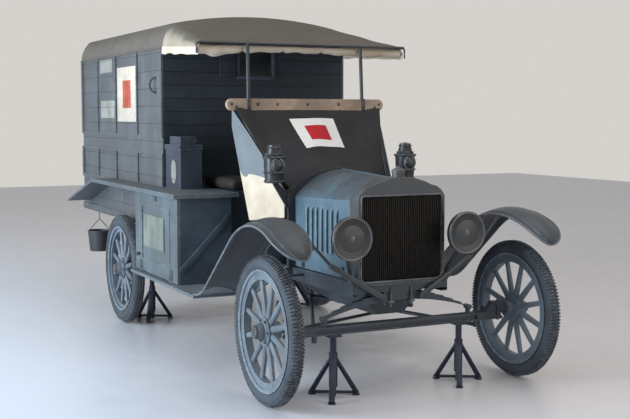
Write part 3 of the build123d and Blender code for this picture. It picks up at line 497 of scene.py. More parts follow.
# Louver paint: a strong pale blue edge mask, painted highlights on the louvers' lips.
LOUVER_PAINT_HIGHLIT = Paint("louver paint with painted highlights", "body_paint", (0.082, 0.135, 0.174), 0.42, (0.34, 0.43, 0.49), 1.6,
                     mottle=0.20, dust_and_top_shade=0.0)
FENDER_PAINT = Paint("fender paint", "body_paint", (0.036, 0.044, 0.053), 0.40, (0.24, 0.27, 0.29), 0.9,
                     mottle=0.22)
BOARD_PAINT = Paint("running board paint", "body_paint", (0.109, 0.131, 0.152), 0.50, (0.24, 0.27, 0.29), 0.9,
                    mottle=0.22)
EDGE_PAINT = Paint("fender edge", "body_paint", (0.095, 0.108, 0.120), 0.42, (0.36, 0.38, 0.40), 1.0,
                   mottle=0.4, dust_and_top_shade=0.02)
SHELL_PAINT = Paint("radiator shell paint", "dark_paint", (0.052, 0.059, 0.066), 0.42, (0.34, 0.27, 0.15),
                    0.85, mottle=0.22, dust_and_top_shade=0.02)
# Firewall: painted near black, a painted shade for the deep shadow between the apron and the bonnet.
SHADED_DASH_PAINT = Paint("firewall paint in painted shade", "dark_paint", (0.022, 0.028, 0.035), 0.5, wear_and_highlight=0.5, dust_and_top_shade=0.02)
LAMP_PAINT = Paint("lamp paint", "dark_paint", (0.022, 0.026, 0.030), 0.3, (0.26, 0.26, 0.25), 0.7,
                   mottle=0.2, dust_and_top_shade=0.02)
RIM_METAL = Paint("lamp rim", "dark_paint", (0.110, 0.118, 0.122), 0.30, (0.40, 0.41, 0.40), 0.9, mottle=0.3,
                  metallic=0.5, dust_and_top_shade=0.02)
HUB_METAL = Paint("hub metal", "dark_paint", (0.092, 0.082, 0.080), 0.40, (0.62, 0.59, 0.56), 1.0, mottle=0.4,
                  metallic=0.3, dust_and_top_shade=0.02)
WHEEL_PAINT = Paint("wheel paint", "wheel_paint", (0.112, 0.142, 0.172), 0.50, (0.34, 0.37, 0.40), 0.8,
                    mottle=0.26, grain=0.4, streaks=0.3)
CHASSIS_PAINT = Paint("chassis paint", "iron", (0.040, 0.052, 0.066), 0.5, (0.17, 0.17, 0.17), 0.7,
                      mottle=0.3)
STAND_PAINT = Paint("stand paint", "iron", (0.0160, 0.0230, 0.0435), 0.45, (0.10, 0.10, 0.11), 0.35,
                    mottle=0.2)
PAIL_PAINT = Paint("pail paint", "iron", (0.034, 0.036, 0.040), 0.5, (0.16, 0.15, 0.14), 0.6, mottle=0.4)
BAR_WOOD = Paint("bar wood", "bar_wood", (0.360, 0.265, 0.195), 0.62, (0.50, 0.43, 0.35), 0.6, mottle=0.32,
                 grain=0.6)
CORE_FINISH = Paint("radiator core", "core", (0.012, 0.011, 0.010), 0.5, (0.12, 0.09, 0.05), 0.35, mottle=0.5,
                    metallic=0.2, dust_and_top_shade=0.0)
RUBBER = Paint("tyre rubber", "tyre", (0.042, 0.052, 0.064), 0.72, (0.26, 0.27, 0.28), 1.3, mottle=0.35,
               dust_and_top_shade=0.04)
WHITE_PANEL = Paint("white panel", "panel", (0.74, 0.72, 0.69), 0.6, (0.45, 0.42, 0.38), 0.3, mottle=0.07,
                    dust_and_top_shade=0.0)
RED_PANEL = Paint("red panel", "red_mark", (0.46, 0.016, 0.024), 0.6, (0.45, 0.2, 0.18), 0.3, mottle=0.15,
                  dust_and_top_shade=0.0, specular=0.2)
CREAM_PANEL = Paint("cream panel", "panel", (0.56, 0.50, 0.41), 0.65, (0.30, 0.27, 0.23), 0.3, mottle=0.16,
                    dust_and_top_shade=0.0, streaks=0.3)
FADED_RED = Paint("faded red", "red_mark", (0.40, 0.085, 0.055), 0.65, (0.45, 0.2, 0.18), 0.3, mottle=0.35,
                  dust_and_top_shade=0.0, streaks=0.5, specular=0.2)
NOTICE_PAINT = Paint("blank notice", "wood_paint", (0.150, 0.172, 0.150), 0.65, (0.30, 0.32, 0.29), 0.15,
                     mottle=0.30, streaks=0.7, grain=0.4)
PATCH = Paint("faded patch", "panel", (0.27, 0.27, 0.24), 0.7, wear_and_highlight=0.3, mottle=0.3, boards=Boards.LEVEL,
              pitch=0.118, gap=0.003, streaks=0.4)
# Roof and canopy canvas: darker where they face up, a painted shade.
ROOF_CANVAS = Cloth("roof canvas", "canvas", (0.138, 0.124, 0.106), (0.115, 0.105, 0.092),
                    top_shade_colour=(0.100, 0.090, 0.076), top_shade=0.9)
CANOPY_CANVAS = Cloth("canopy canvas", "canvas", (0.390, 0.340, 0.262), (0.200, 0.170, 0.130), stained=0.30,
                      top_shade_colour=(0.112, 0.100, 0.083), top_shade=1.0)
CREAM_CANVAS = Cloth("cream canvas", "canvas", (0.66, 0.57, 0.45), (0.42, 0.33, 0.22), stained=0.55)
# Side curtains' upper band: the cream cloth drawn grey blue, a painted shade.
SHADED_CURTAIN_CLOTH = Cloth("curtain cloth in painted shade", "canvas", (0.190, 0.215, 0.232), (0.12, 0.14, 0.16))
DARK_CANVAS = Cloth("apron cloth", "dark_canvas", (0.017, 0.018, 0.021), (0.013, 0.014, 0.016), 0.6,
                    creases=0.3)
CUSHION = Cloth("seat cloth", "leather", (0.030, 0.027, 0.024), (0.055, 0.048, 0.040), 0.45, thread=0.004,
                creases=0.25)
GLASS = Glass("lamp glass", "lens")
FLOOR = Floor("floor finish", "")


def in_scene(name: str, data: Any) -> bpy.types.Object:
    """New object in the scene.

    Args:
        name: The object's name.
        data: Its mesh, camera or lamp.

    Returns:
        The object.
    """
    made = bpy.data.objects.new(name, data)
    bpy.context.scene.collection.objects.link(made)
    return made


def new_object(name: str, mesh: Mesh | Sequence[Mesh], finish: Finish,
               body: str = "chassis") -> bpy.types.Object:
    """Link a mesh, or several as one, as a piece that rides on a body.

    Args:
        name: The piece's name.
        mesh: Its mesh or meshes, with its place in them.
        finish: The finish that dresses it.
        body: The CAD body that it moves with.

    Returns:
        The piece.
    """
    mesh = mesh if isinstance(mesh, Mesh) else joined(mesh)
    mesh.name = name
    made = in_scene(name, mesh)
    if not mesh.materials:
        mesh.materials.append(finish.material())
    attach(made, body)
    LOG.info("piece %s: %d faces, rides on %s", name, len(mesh.polygons), body)
    return made


def shade(mesh: Mesh, degrees: float = 35.0) -> Mesh:
    """The mesh, shaded smooth, with edges sharper than an angle left sharp.

    Args:
        mesh: The mesh.
        degrees: The angle.

    Returns:
        The same mesh.
    """
    mesh.shade_smooth()
    mesh.set_sharp_from_angle(angle=math.radians(degrees))
    return mesh


def reworked(work: bmesh.types.BMesh, mesh: Mesh, degrees: float = 35.0) -> Mesh:
    """The mesh with what was done in the work mesh, which ends here.

    Args:
        work: The work mesh.
        mesh: The mesh that takes its faces.
        degrees: Edges sharper than this stay sharp.

    Returns:
        The same mesh.
    """
    work.to_mesh(mesh)
    work.free()
    return shade(mesh, degrees)


def opened(*meshes: Mesh) -> bmesh.types.BMesh:
    """Work mesh that holds all the meshes.

    Args:
        *meshes: The meshes, which stay as they are.

    Returns:
        The work mesh.
    """
    work = bmesh.new()
    for mesh in meshes:
        work.from_mesh(mesh)
    return work


def joined(meshes: Sequence[Mesh]) -> Mesh:
    """Several meshes as one.

    Args:
        meshes: The meshes, which end here.

    Returns:
        The joined mesh.
    """
    made = reworked(opened(*meshes), bpy.data.meshes.new("joined"))
    for mesh in meshes:
        bpy.data.meshes.remove(mesh)
    return made


def from_faces(points: Iterable[Sequence[float]], faces: Iterable[Sequence[int]],
               degrees: float = 35.0) -> Mesh:
    """Mesh from points and faces, with doubles merged and normals outwards.

    Args:
        points: Its corners.
        faces: Corner numbers of each face.
        degrees: Edges sharper than this stay sharp.

    Returns:
        The mesh.
    """
    mesh = bpy.data.meshes.new("shape")
    mesh.from_pydata([tuple(p) for p in points], [], [tuple(f) for f in faces])
    work = opened(mesh)
    bmesh.ops.remove_doubles(work, verts=work.verts, dist=1e-6)
    bmesh.ops.recalc_face_normals(work, faces=work.faces)
    return reworked(work, mesh, degrees)


def grid_faces(rows: int, columns: int, round_columns: bool = False) -> list[tuple[int, ...]]:
    """Quads of a grid of points, with each row joined round where asked."""
    return [(i * columns + j, i * columns + (j + 1) % columns, (i + 1) * columns + (j + 1) % columns,
             (i + 1) * columns + j)
            for i in range(rows - 1) for j in range(columns if round_columns else columns - 1)]


def moved(faces: Iterable[Sequence[int]], count: int) -> list[tuple[int, ...]]:
    """The same faces on a later set of points."""
    return [tuple(count + k for k in face) for face in faces]


def pillow_faces(rows: int, columns: int) -> list[tuple[int, ...]]:
    """Faces of two like grids, one after the other, that are joined along their rims.

    Args:
        rows: Rows of each grid.
        columns: Columns of each grid.

    Returns:
        Corner numbers of each face.
    """
    top, count = grid_faces(rows, columns), rows * columns
    rim = [*range(columns), *range(2 * columns - 1, count, columns),
           *range(count - 2, count - columns - 1, -1), *range(count - 2 * columns, 0, -columns)]
    return [*top, *moved(top, count), *((a, b, count + b, count + a) for a, b in zip(rim, rim[1:] + rim[:1]))]


def round_points(centre: Vector, axis: Vector, radius: float, steps: int) -> list[Vector]:
    """Points of a circle round an axis.

    Args:
        centre: Middle of the circle.
        axis: Direction of the axis.
        radius: Radius of the circle.
        steps: Number of points.

    Returns:
        The points in order.
    """
    turn = axis.to_track_quat("Z", "Y").to_matrix()
    angles = (2 * math.pi * step / steps for step in range(steps))
    return [centre + turn @ Vector((radius * math.cos(a), radius * math.sin(a), 0)) for a in angles]


def turned(centre: Vector, axis: Vector, profile: Sequence[Pair], steps: int = 48,
           degrees: float = 35.0) -> Mesh:
    """Mesh turned round an axis.

    Args:
        centre: Point on the axis that lengths are measured from.
        axis: Direction of the axis.
        profile: Pairs of length along the axis and radius, the outline in order.
        steps: Number of steps round.
        degrees: Edges sharper than this stay sharp.

    Returns:
        The mesh, closed where the outline starts and ends on the axis.
    """
    points = [p for length, radius in profile
              for p in round_points(centre + axis * length, axis, radius, steps)]
    return from_faces(points, grid_faces(len(profile), steps, True), degrees)


def tube(path: Sequence[Vector], radius: float, sides: int = 10) -> Mesh:
    """Round bar along a path, with closed ends.

    Args:
        path: Points of its middle line.
        radius: Its radius.
        sides: Number of flats round it.

    Returns:
        The mesh.
    """
    last = len(path) - 1
    points = [p for i, spot in enumerate(path)
              for p in round_points(spot, path[min(i + 1, last)] - path[max(i - 1, 0)], radius, sides)]
    ends = [tuple(range(sides)), tuple(range(last * sides, len(points)))]
    return from_faces(points, grid_faces(len(path), sides, True) + ends, 60.0)


def prism(outline: Sequence[Vector], push: Vector, bevel: float = 0.0) -> Mesh:
    """Flat outline pushed out into a solid, with its edges eased.

    Args:
        outline: Corners of the flat face, in order.
        push: The way and length that it is pushed.
        bevel: Width of the eased edges.

    Returns:
        The mesh.
    """
    count = len(outline)
    faces = [tuple(range(count)), tuple(range(count, 2 * count))]
    faces += [(i, (i + 1) % count, count + (i + 1) % count, count + i) for i in range(count)]
    mesh = from_faces([*outline, *(p + push for p in outline)], faces, 30.0)
    if not bevel:
        return mesh
    work = opened(mesh)
    sharp = [e for e in work.edges if len(e.link_faces) == 2 and e.calc_face_angle() > math.radians(30)]
    bmesh.ops.bevel(work, geom=sharp, offset=bevel, segments=2, affect="EDGES", profile=0.5)
    return reworked(work, mesh)


def slab(low: Sequence[float], high: Sequence[float], bevel: float = 0.002) -> Mesh:
    """Straight piece between two corners, with eased edges."""
    (x0, y0, z0), (x1, y1, z1) = low, high
    return prism([Vector((x, y, z0)) for x, y in ((x0, y0), (x1, y0), (x1, y1), (x0, y1))],
                 UP * (z1 - z0), bevel)


def block(xs: Pair, stations: Pair, zs: Pair, bevel: float = 0.002) -> Mesh:
    """Straight piece between two values on each axis, in any order."""
    return slab(*(LAY.at(*corner) for corner in zip(*map(sorted, (xs, stations, zs)))), bevel)


def about(middle: float, half: float) -> Pair:
    """The two values that lie half a width from a middle."""
    return middle - half, middle + half


def arc_through(first: Pair, middle: Pair, last: Pair, count: int) -> np.ndarray:
    """Points on the arc, less than half a circle, through three flat points.

    Args:
        first: Start of the arc.
        middle: A point that it passes.
        last: End of the arc.
        count: Number of points.

    Returns:
        The points, one a row.
    """
    a, b, c = (complex(*p) for p in (first, middle, last))
    ratio = (c - a) / (b - a)
    centre = a - (a - b) * (ratio - abs(ratio) ** 2) / (2j * ratio.imag)
    sweep = cmath.phase((c - centre) / (a - centre))
    spots = centre + (a - centre) * np.exp(1j * np.linspace(0, sweep, count))
    return np.stack([spots.real, spots.imag], 1)


def shares(rows: int, columns: int) -> tuple[np.ndarray, np.ndarray]:
    """Shares from 0 to 1 down and across a grid, as a column and a row."""
    return np.linspace(0, 1, rows)[:, None], np.linspace(0, 1, columns)[None, :]


def spread(x: Any, y: Any, z: Any) -> np.ndarray:
    """Grid of points from three coordinates that spread to one shape."""
    return np.stack(np.broadcast_arrays(x, y, z), -1)


def grid_of(x: Any, station: Any, z: Any) -> np.ndarray:
    """Grid of points from X, the station behind the front axle, and Z."""
    return spread(x, LAY.axle_y + station, z)


def two_layers(first: np.ndarray, second: np.ndarray, faces: Iterable[Sequence[int]], degrees: float) -> Mesh:
    """Mesh from two grids of points, and the faces that number both."""
    return from_faces([*first.reshape(-1, 3), *second.reshape(-1, 3)], faces, degrees)


def sampled(grid: np.ndarray, t: np.ndarray, u: np.ndarray) -> np.ndarray:
    """Points on a grid between its own.

    Args:
        grid: Points as rows, columns and coordinates.
        t: Shares of the way down the rows.
        u: Shares of the way across the columns.

    Returns:
        The points, in the shape that the shares spread to.
    """
    rows, columns = grid.shape[:2]
    r, c = t * (rows - 1), u * (columns - 1)
    i, j = np.minimum(r.astype(int), rows - 2), np.minimum(c.astype(int), columns - 2)
    a, b = (r - i)[..., None], (c - j)[..., None]
    return ((grid[i, j] * (1 - a) + grid[i + 1, j] * a) * (1 - b)
            + (grid[i, j + 1] * (1 - a) + grid[i + 1, j + 1] * a) * b)


def run_along(points: np.ndarray) -> np.ndarray:
    """Length from the first of a row of points to each."""
    return np.concatenate([[0.0], np.cumsum(np.linalg.norm(np.diff(points, axis=0), axis=1))])


def area_of(grid: np.ndarray) -> float:
    """Area of a grid of points."""
    across, down = grid[:-1, 1:] - grid[:-1, :-1], grid[1:, :-1] - grid[:-1, :-1]
    return float(np.linalg.norm(np.cross(across, down), axis=2).sum())


def cloth_sheet(grid: np.ndarray, thick: float = 0.0022) -> Mesh:
    """Sheet of cloth over a grid of points, with threads' places as a UV map in metres.

    Args:
        grid: Points as rows, columns and coordinates.
        thick: Thickness of the cloth.

    Returns:
        The mesh, with both faces and its edges.
    """
    rows, columns = grid.shape[:2]
    mesh = bpy.data.meshes.new("sheet")
    mesh.from_pydata([tuple(p) for p in grid.reshape(-1, 3)], [], grid_faces(rows, columns))
    over, down = run_along(grid[rows // 2]), run_along(grid[:, columns // 2])
    layer = mesh.uv_layers.new(name="UVMap")
    for loop in mesh.loops:
        row, column = divmod(loop.vertex_index, columns)
        layer.data[loop.index].uv = (over[column], down[row])
    helper = in_scene("sheet", mesh)
    wall = helper.modifiers.new("thickness", "SOLIDIFY")
    wall.thickness, wall.offset = thick, 0.0
    return shade(applied(helper), 60.0)


def applied(helper: bpy.types.Object) -> Mesh:
    """Mesh of a helper object with its modifiers applied. The helper ends here.

    Args:
        helper: The helper object.

    Returns:
        The mesh.
    """
    mesh = bpy.data.meshes.new_from_object(helper.evaluated_get(bpy.context.evaluated_depsgraph_get()))
    bpy.data.objects.remove(helper)
    return mesh


def ripple(u: Any, v: Any, waves: Sequence[tuple[float, float, float, float]]) -> Any:
    """Sum of soft waves, each with its height, turns along u, turns along v and phase."""
    return sum(h * np.sin(2 * math.pi * (a * u + b * v) + p) for h, a, b, p in waves)


def bumps(x: Any, spots: Sequence[float], width: float) -> Any:
    """Sum of smooth bumps of height 1 at spots along x."""
    return sum(np.exp(-(((x - spot) / width) ** 2)) for spot in spots)


def mix(first: float, last: float, t: Any) -> Any:
    """Value on the way from first to last."""
    return first * (1 - t) + last * t


@cache
def repeater() -> bpy.types.NodeTree:
    """Geometry Nodes tree that puts a shape on each vertex, turned by the vertex's own angles.

    Returns:
        The tree, made once.
    """
    g, given, result = node_group("repeater", "Geometry", {"Geometry": "Geometry", "Shape": "Object",
                                                           "Play": "Float", "Finish": "Material"},
                                  {"Geometry": "Geometry"})
    angles = g.add("GeometryNodeInputNamedAttribute", {"Name": "turn"}, data_type="FLOAT_VECTOR").outputs[0]
    turn = g.add("FunctionNodeEulerToRotation", {0: angles}).outputs[0]
    shape = g.add("GeometryNodeObjectInfo", {"Object": given["Shape"]}, transform_space="ORIGINAL")
    play = g.add("FunctionNodeRandomValue", {2: g.math("SUBTRACT", 1.0, given["Play"]),
                                             3: g.math("ADD", 1.0, given["Play"]), "Seed": SEED},
                 data_type="FLOAT").outputs[1]
    placed = g.add("GeometryNodeInstanceOnPoints",
                   {"Points": given["Geometry"], "Rotation": turn, "Scale": play,
                    "Instance": shape.outputs["Geometry"]}).outputs[0]
    real = g.add("GeometryNodeRealizeInstances", {0: placed}).outputs[0]
    dressed = g.add("GeometryNodeSetMaterial", {"Geometry": real, "Material": given["Finish"]})
    g.fill(result, {"Geometry": dressed.outputs[0]})
    return g.tree


def repeated(name: str, shape: Mesh, spots: Sequence[tuple[Vector, Sequence[float]]], finish: Finish,
             body: str = "chassis", play: float = 0.0) -> bpy.types.Object:
    """Repeat a small shape through Geometry Nodes and keep the result as one plain mesh.

    Args:
        name: Name of the piece.
        shape: The small shape, round its own origin.
        spots: Place and angles of each copy.
        finish: Finish of the piece.
        body: CAD body that it rides on.
        play: Share by which the copies' sizes differ.

    Returns:
        The finished piece.
    """
    carrier = bpy.data.meshes.new("spots")
    carrier.from_pydata([tuple(place) for place, _ in spots], [], [])
    turns = carrier.attributes.new("turn", "FLOAT_VECTOR", "POINT")
    for i, (_, angles) in enumerate(spots):
        turns.data[i].vector = angles
    pattern, helper = in_scene("shape", shape), in_scene("spots", carrier)
    modifier = helper.modifiers.new("repeat", "NODES")
    modifier.node_group = repeater()
    given = {"Shape": pattern, "Play": play, "Finish": finish.material()}
    for item in modifier.node_group.interface.items_tree:
        if item.in_out == "INPUT" and item.name in given:
            modifier[item.identifier] = given[item.name]
    helper.update_tag()
    bpy.context.view_layer.update()
    mesh = applied(helper)
    bpy.data.objects.remove(pattern)
    return new_object(name, shade(mesh), finish, body)


def scattered(name: str, shape: Mesh, spots: Sequence[tuple[Vector, Vector]], finish: Finish,
              play: float = 0.05) -> bpy.types.Object:
    """Repeat a shape on the chassis, its +Z turned to each spot's way out."""
    turned_spots = [(place, out.to_track_quat("Z", "Y").to_euler()) for place, out in spots]
    return repeated(name, shape, turned_spots, finish, play=play)


def in_ring(name: str, shape: Mesh, count: int, centre: Vector, radius: float, finish: Finish, body: str,
            first: float = 0.0, play: float = 0.0) -> bpy.types.Object:
    """Repeat a shape round an axle along X, its +Z turned outwards.

    Args:
        name: Name of the piece.
        shape: The small shape, round its own origin.
        count: Number of copies.
        centre: Middle of the ring.
        radius: Its radius.
        finish: Finish of the piece.
        body: CAD body that it rides on.
        first: Where the first copy sits, in steps from the top.
        play: Share by which the copies' sizes differ.

    Returns:
        The finished piece.
    """
    angles = [(i + first) * 2 * math.pi / count for i in range(count)]
    spots = [(centre + Vector((0, -math.sin(a), math.cos(a))) * radius, (a, 0, 0)) for a in angles]
    return repeated(name, shape, spots, finish, body, play)


def dome_head(radius: float, height: float) -> Mesh:
    """Round rivet or coach bolt head, standing on its origin."""
    rise = [(height * math.sin(a), radius * math.cos(a)) for a in np.linspace(0, math.pi / 2, 4)]
    return turned(Vector(), UP, rise, 10, 60.0)


def hex_nut(radius: float, height: float) -> Mesh:
    """Six-sided nut with a stub of its bolt, standing on its origin."""
    stub = [(height, radius * 0.5), (height * 1.5, radius * 0.5), (height * 1.5, 0)]
    return turned(Vector(), UP, [(0, radius), (height, radius), *stub], 6, 20.0)


@dataclass
class CarriedNodes:
    """CAD nodes whose shape stays, each with its finish and smooth shading on a merged copy."""

    degrees: float = 32.0
    bar_half: Spot = (0.600, 0.0156, 0.0366)

    def build(self) -> None:
        """Dress every rigid node that no other class replaces, and the bar's board apart from its irons."""
        finishes = {
            BOARD_PAINT: ["running_boards"],
            METAL_PAINT: ["hood"],
            SHELL_PAINT: ["radiator_shell"],
            CORE_FINISH: ["radiator_core"],
            WOOD_PAINT: ["locker_door_right", "locker_door_left", "shelves", "tailboard", "rear_frame"],
            DARK_WOOD: ["lockers", "cab_floor", "steering_wheel"],
            SHADED_DASH_PAINT: ["firewall"],
            CHEST_PAINT: ["chest"],
            SIDE_PAINT: ["body_sides"],
            SHADED_WALL_PAINT: ["front_wall"],
            FLOOR_BOARDS: ["body_floor"],
            CHASSIS_PAINT: ["frame", "engine", "front_axle", "springs", "rear_axle", "steering_column",
                            "steering_arm", "knuckle_right", "knuckle_left", "tie_rod"],
            PAIL_PAINT: ["pail"],
            STAND_PAINT: ["axle_stands"],
            LAMP_PAINT: ["lamps"],
            WHEEL_PAINT: [f"wheel_{place}" for place in PLACES],
            ROOF_CANVAS: ["roof"],
        }
        for finish, nodes in finishes.items():
            for node in nodes:
                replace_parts(self.copy(node, f"{node}_dressed", finish), node)
        board, half = LAY.at(0, LAY.bar_station, LAY.bar_z), Vector(self.bar_half)
        box = (board - half, board + half)
        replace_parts(self.copy("canopy_frame", "canopy_frame_dressed", LAMP_PAINT, box), "canopy_frame")
        self.copy("canopy_frame", "canopy_frame_board", BAR_WOOD, box, True)

    def copy(self, node: str, name: str, finish: Finish, box: tuple[Vector, Vector] | None = None,
             inside: bool = False) -> bpy.types.Object:
        """Dress a merged, smoothly shaded copy of a node, or of its faces in or out of a box.

        Args:
            node: Name of the CAD node.
            name: Name of the copy.
            finish: The finish that dresses it.
            box: Lower and upper corner of the box.
            inside: Keep the faces that lie in the box, and not those that leave it.

        Returns:
            The copy.
        """
        mesh = frame["nodes"][node].data.copy()
        work = opened(mesh)
        bmesh.ops.remove_doubles(work, verts=work.verts, dist=2e-5)
        if box:
            low, high = box
            gone = [face for face in work.faces
                    if all(low[k] <= v.co[k] <= high[k] for v in face.verts for k in range(3)) is not inside]
            bmesh.ops.delete(work, geom=gone, context="FACES")
        work.to_mesh(mesh)
        work.free()
        if "custom_normal" in mesh.attributes:
            mesh.attributes.remove(mesh.attributes["custom_normal"])
        mesh.materials.clear()
        mesh.materials.append(finish.material())
        for face in mesh.polygons:
            face.material_index = 0
        return new_object(name, shade(mesh, self.degrees), finish, body_of(frame["nodes"][node])[0])


@dataclass
class Tyres:
    """Four pneumatic tyres, each with studs on both shoulders and ribs across its crown."""

    radius: float = 0.381
    front_width: float = 0.076
    rear_width: float = 0.089
    studs: int = 128
    lean: float = math.radians(34)
    stud_half: float = 0.0048

    def build(self) -> None:
        """Build each tyre and its tread."""
        for place in PLACES:
            centre, body = box_middle(f"tyre_{place}"), f"wheel_{place}"
            width = self.front_width if place.startswith("front") else self.rear_width
            half, seat = width / 2, self.radius - width
            toe, heel = half - 0.016, half - 0.012
            wall = [(half * 0.97 * math.cos(a), self.radius - half + half * 0.95 * math.sin(a))
                    for a in np.radians(np.linspace(205, -25, 19))]
            outline = [(-toe, seat + 0.002), (-heel, seat + 0.006), *wall, (heel, seat + 0.006),
                       (toe, seat + 0.002), (-toe, seat + 0.002)]
            carcass = turned(centre, Vector((1, 0, 0)), outline, 96, 50.0)
            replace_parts(new_object(f"tyre_{place}_carcass", carcass, RUBBER, body), f"tyre_{place}")
            reach = half * 0.95
            for side, label in ((-1, "in"), (1, "out")):
                stud = slab((-0.012, -self.stud_half, -0.004), (0.012, self.stud_half, 0.006), 0.0012)
                stud.transform(Matrix.Rotation(side * self.lean, 4, "Y"))
                in_ring(f"tread_{place}_{label}", stud, self.studs,
                        centre + Vector((side * reach * math.sin(self.lean), 0, 0)),
                        self.radius - half + reach * math.cos(self.lean), RUBBER, body,
                        0.5 if side > 0 else 0.0, 0.04)
            rib = slab((-0.008, -self.stud_half, -0.003), (0.008, self.stud_half, 0.0022), 0.001)
            in_ring(f"tread_{place}_crown", rib, self.studs, centre, self.radius - 0.002, RUBBER, body)


@dataclass
class WheelDress:
    """Hub flanges, hub caps, their bolts and the felloe's rivets on the four wheels."""

    flange: tuple[Pair, ...] = ((0.022, 0.0), (0.022, 0.046), (0.026, 0.050), (0.030, 0.046), (0.034, 0.036))
    cap: tuple[Pair, ...] = ((0.028, 0.041), (0.050, 0.040), (0.052, 0.035), (0.070, 0.034), (0.077, 0.030),
                             (0.080, 0.021), (0.080, 0.0))

    def build(self) -> None:
        """Dress each wheel on its outer side."""
        for place in PLACES:
            out = -1 if place.endswith("right") else 1
            centre, body = box_middle(f"tyre_{place}"), f"wheel_{place}"
            for name, profile, finish in (("hub_flange", self.flange, WHEEL_PAINT),
                                          ("hub_cap", self.cap, HUB_METAL)):
                new_object(f"{name}_{place}", turned(centre, Vector((out, 0, 0)), profile, 32), finish, body)
            for name, head, count, face, circle, finish in (
                ("hub_bolts", hex_nut(0.008, 0.006), 6, 0.024, 0.060, CHASSIS_PAINT),
                ("felloe_rivets", dome_head(0.0055, 0.004), 24, 0.0215, 0.279, WHEEL_PAINT),
            ):
                head.transform(Matrix.Rotation(math.radians(90 * out), 4, "Y"))
                in_ring(f"{name}_{place}", head, count, centre + Vector((out * face, 0, 0)), circle, finish,
                        body, 0.5)


@dataclass
class Radiator:
    """Fins and tubes of the core, the shell's border and the filler cap."""

    half: float = 0.243
    bottom: float = 0.603
    top: float = 1.049
    face: float = -0.024
    corner: float = 0.030
    margin: float = 0.004
    bead_face: float = -0.040
    bead: float = 0.0052
    plate_face: float = -0.034
    plate: float = 0.003
    tubes: int = 41
    fins: int = 48

    def build(self) -> None:
        """Build the core's grille, its border and the cap."""
        step = 2 * self.half / (self.tubes + 1)
        rise = (self.top - self.bottom) / (self.fins + 1)
        bar = slab((-0.0016, -0.010, self.bottom), (0.0016, 0.0, self.top), 0.0006)
        repeated("core_tubes", bar, [(LAY.at(-self.half + (i + 1) * step, self.face, 0), (0, 0, 0))
                                     for i in range(self.tubes)], CORE_FINISH)
        fin = slab((-self.half, -0.006, -0.0006), (self.half, 0.0, 0.0006), 0.0)
        repeated("core_fins", fin, [(LAY.at(0, self.face, self.bottom + (i + 1) * rise), (0, 0, 0))
                                    for i in range(self.fins)], CORE_FINISH)
        self.border()
        cap = [(0.0, 0.030), (0.004, 0.036), (0.012, 0.037), (0.020, 0.034), (0.026, 0.022), (0.030, 0.012),
               (0.036, 0.010), (0.040, 0.0)]
        new_object("filler_cap", turned(LAY.at(0, 0.005, 1.166), UP, cap, 24), SHELL_PAINT)

    def border(self) -> None:
        """Bead round the core, and the plates behind its round lower corners."""
        edge, low, high = self.half + self.margin, self.bottom - self.margin, self.top + self.margin
        rail = [LAY.at(-edge, self.bead_face, (low + high) / 2)]
        for side, radius, height, start in ((-1, self.corner, low + self.corner, 180),
                                            (1, self.corner, low + self.corner, 270),
                                            (1, self.corner / 2, high - self.corner / 2, 0),
                                            (-1, self.corner / 2, high - self.corner / 2, 90)):
            rail += [LAY.at(side * (edge - radius) + radius * math.cos(a), self.bead_face,
                            height + radius * math.sin(a))
                     for a in np.radians(np.linspace(start, start + 90, 8))]
        new_object("core_border", tube([*rail, rail[0]], self.bead), EDGE_PAINT)
        plates = []
        for side, _ in SIDES:
            arc = [LAY.at(side * (edge - self.corner * (1 - math.cos(a))), self.plate_face,
                          low + self.corner * (1 - math.sin(a))) for a in np.linspace(0, math.pi / 2, 10)]
            plates.append(prism([LAY.at(side * edge, self.plate_face, low), *arc], AHEAD * self.plate))
        new_object("core_corners", plates, SHELL_PAINT)


@dataclass
class Bonnet:
    """Louvers, hinge and catches of the bonnet."""

    louvers: int = 7
    front: float = 0.200
    step: float = 0.052
    bottom: float = 0.711
    top: float = 0.969
    width: float = 0.022
    depth: float = 0.012
    start: float = 0.055
    length: float = 0.595
    half: float = 0.252
    widens: float = 0.048
    lean: float = -0.0807

    def share(self, station: float) -> float:
        """Share of the way from the radiator to the firewall."""
        return (station - self.start) / self.length

    def build(self) -> None:
        """Press the louvers into each side, lay the hinge along the crown and add the catches."""
        middle, spots = (self.bottom + self.top) / 2, []
        for side, _ in SIDES:
            for station in (self.front + i * self.step for i in range(self.louvers)):
                place = LAY.at(side * (self.half + self.widens * self.share(station)), station, middle)
                spots.append((place, Vector((side, self.lean, 0)).normalized()))
        scattered("bonnet_louvers", self.louver(), spots, LOUVER_PAINT_HIGHLIT, 0.0)
        hinge = tube([LAY.at(0, 0.056, 1.1375), LAY.at(0, 0.648, 1.1615)], 0.0045)
        new_object("bonnet_hinge", hinge, METAL_PAINT)
        catches = []
        for side, _ in SIDES:
            for station in (0.14, 0.56):
                x = side * (self.half + 0.002 + self.widens * self.share(station))
                low = 0.606 + 0.010 * self.share(station)
                catches.append(block(about(x, 0.008), about(station, 0.012), (low, low + 0.055)))
        new_object("bonnet_catches", catches, CHASSIS_PAINT)

    def louver(self) -> Mesh:
        """One upright louver: a scoop that opens to the rear and stands out along +Z.

        Returns:
            Its mesh round its own origin.
        """
        t, s = shares(15, 7)
        t = 2 * t - 1
        lift = self.depth * np.maximum(0.0, 1 - np.abs(t) ** 10) ** 0.5 * np.sin(s * math.pi / 2)
        x, y = self.width * (s - 0.5), (self.top - self.bottom) / 2 * t
        inner = spread(x, y, np.full_like(lift, -0.0015))
        return two_layers(spread(x, y, lift), inner, pillow_faces(15, 7), 40.0)


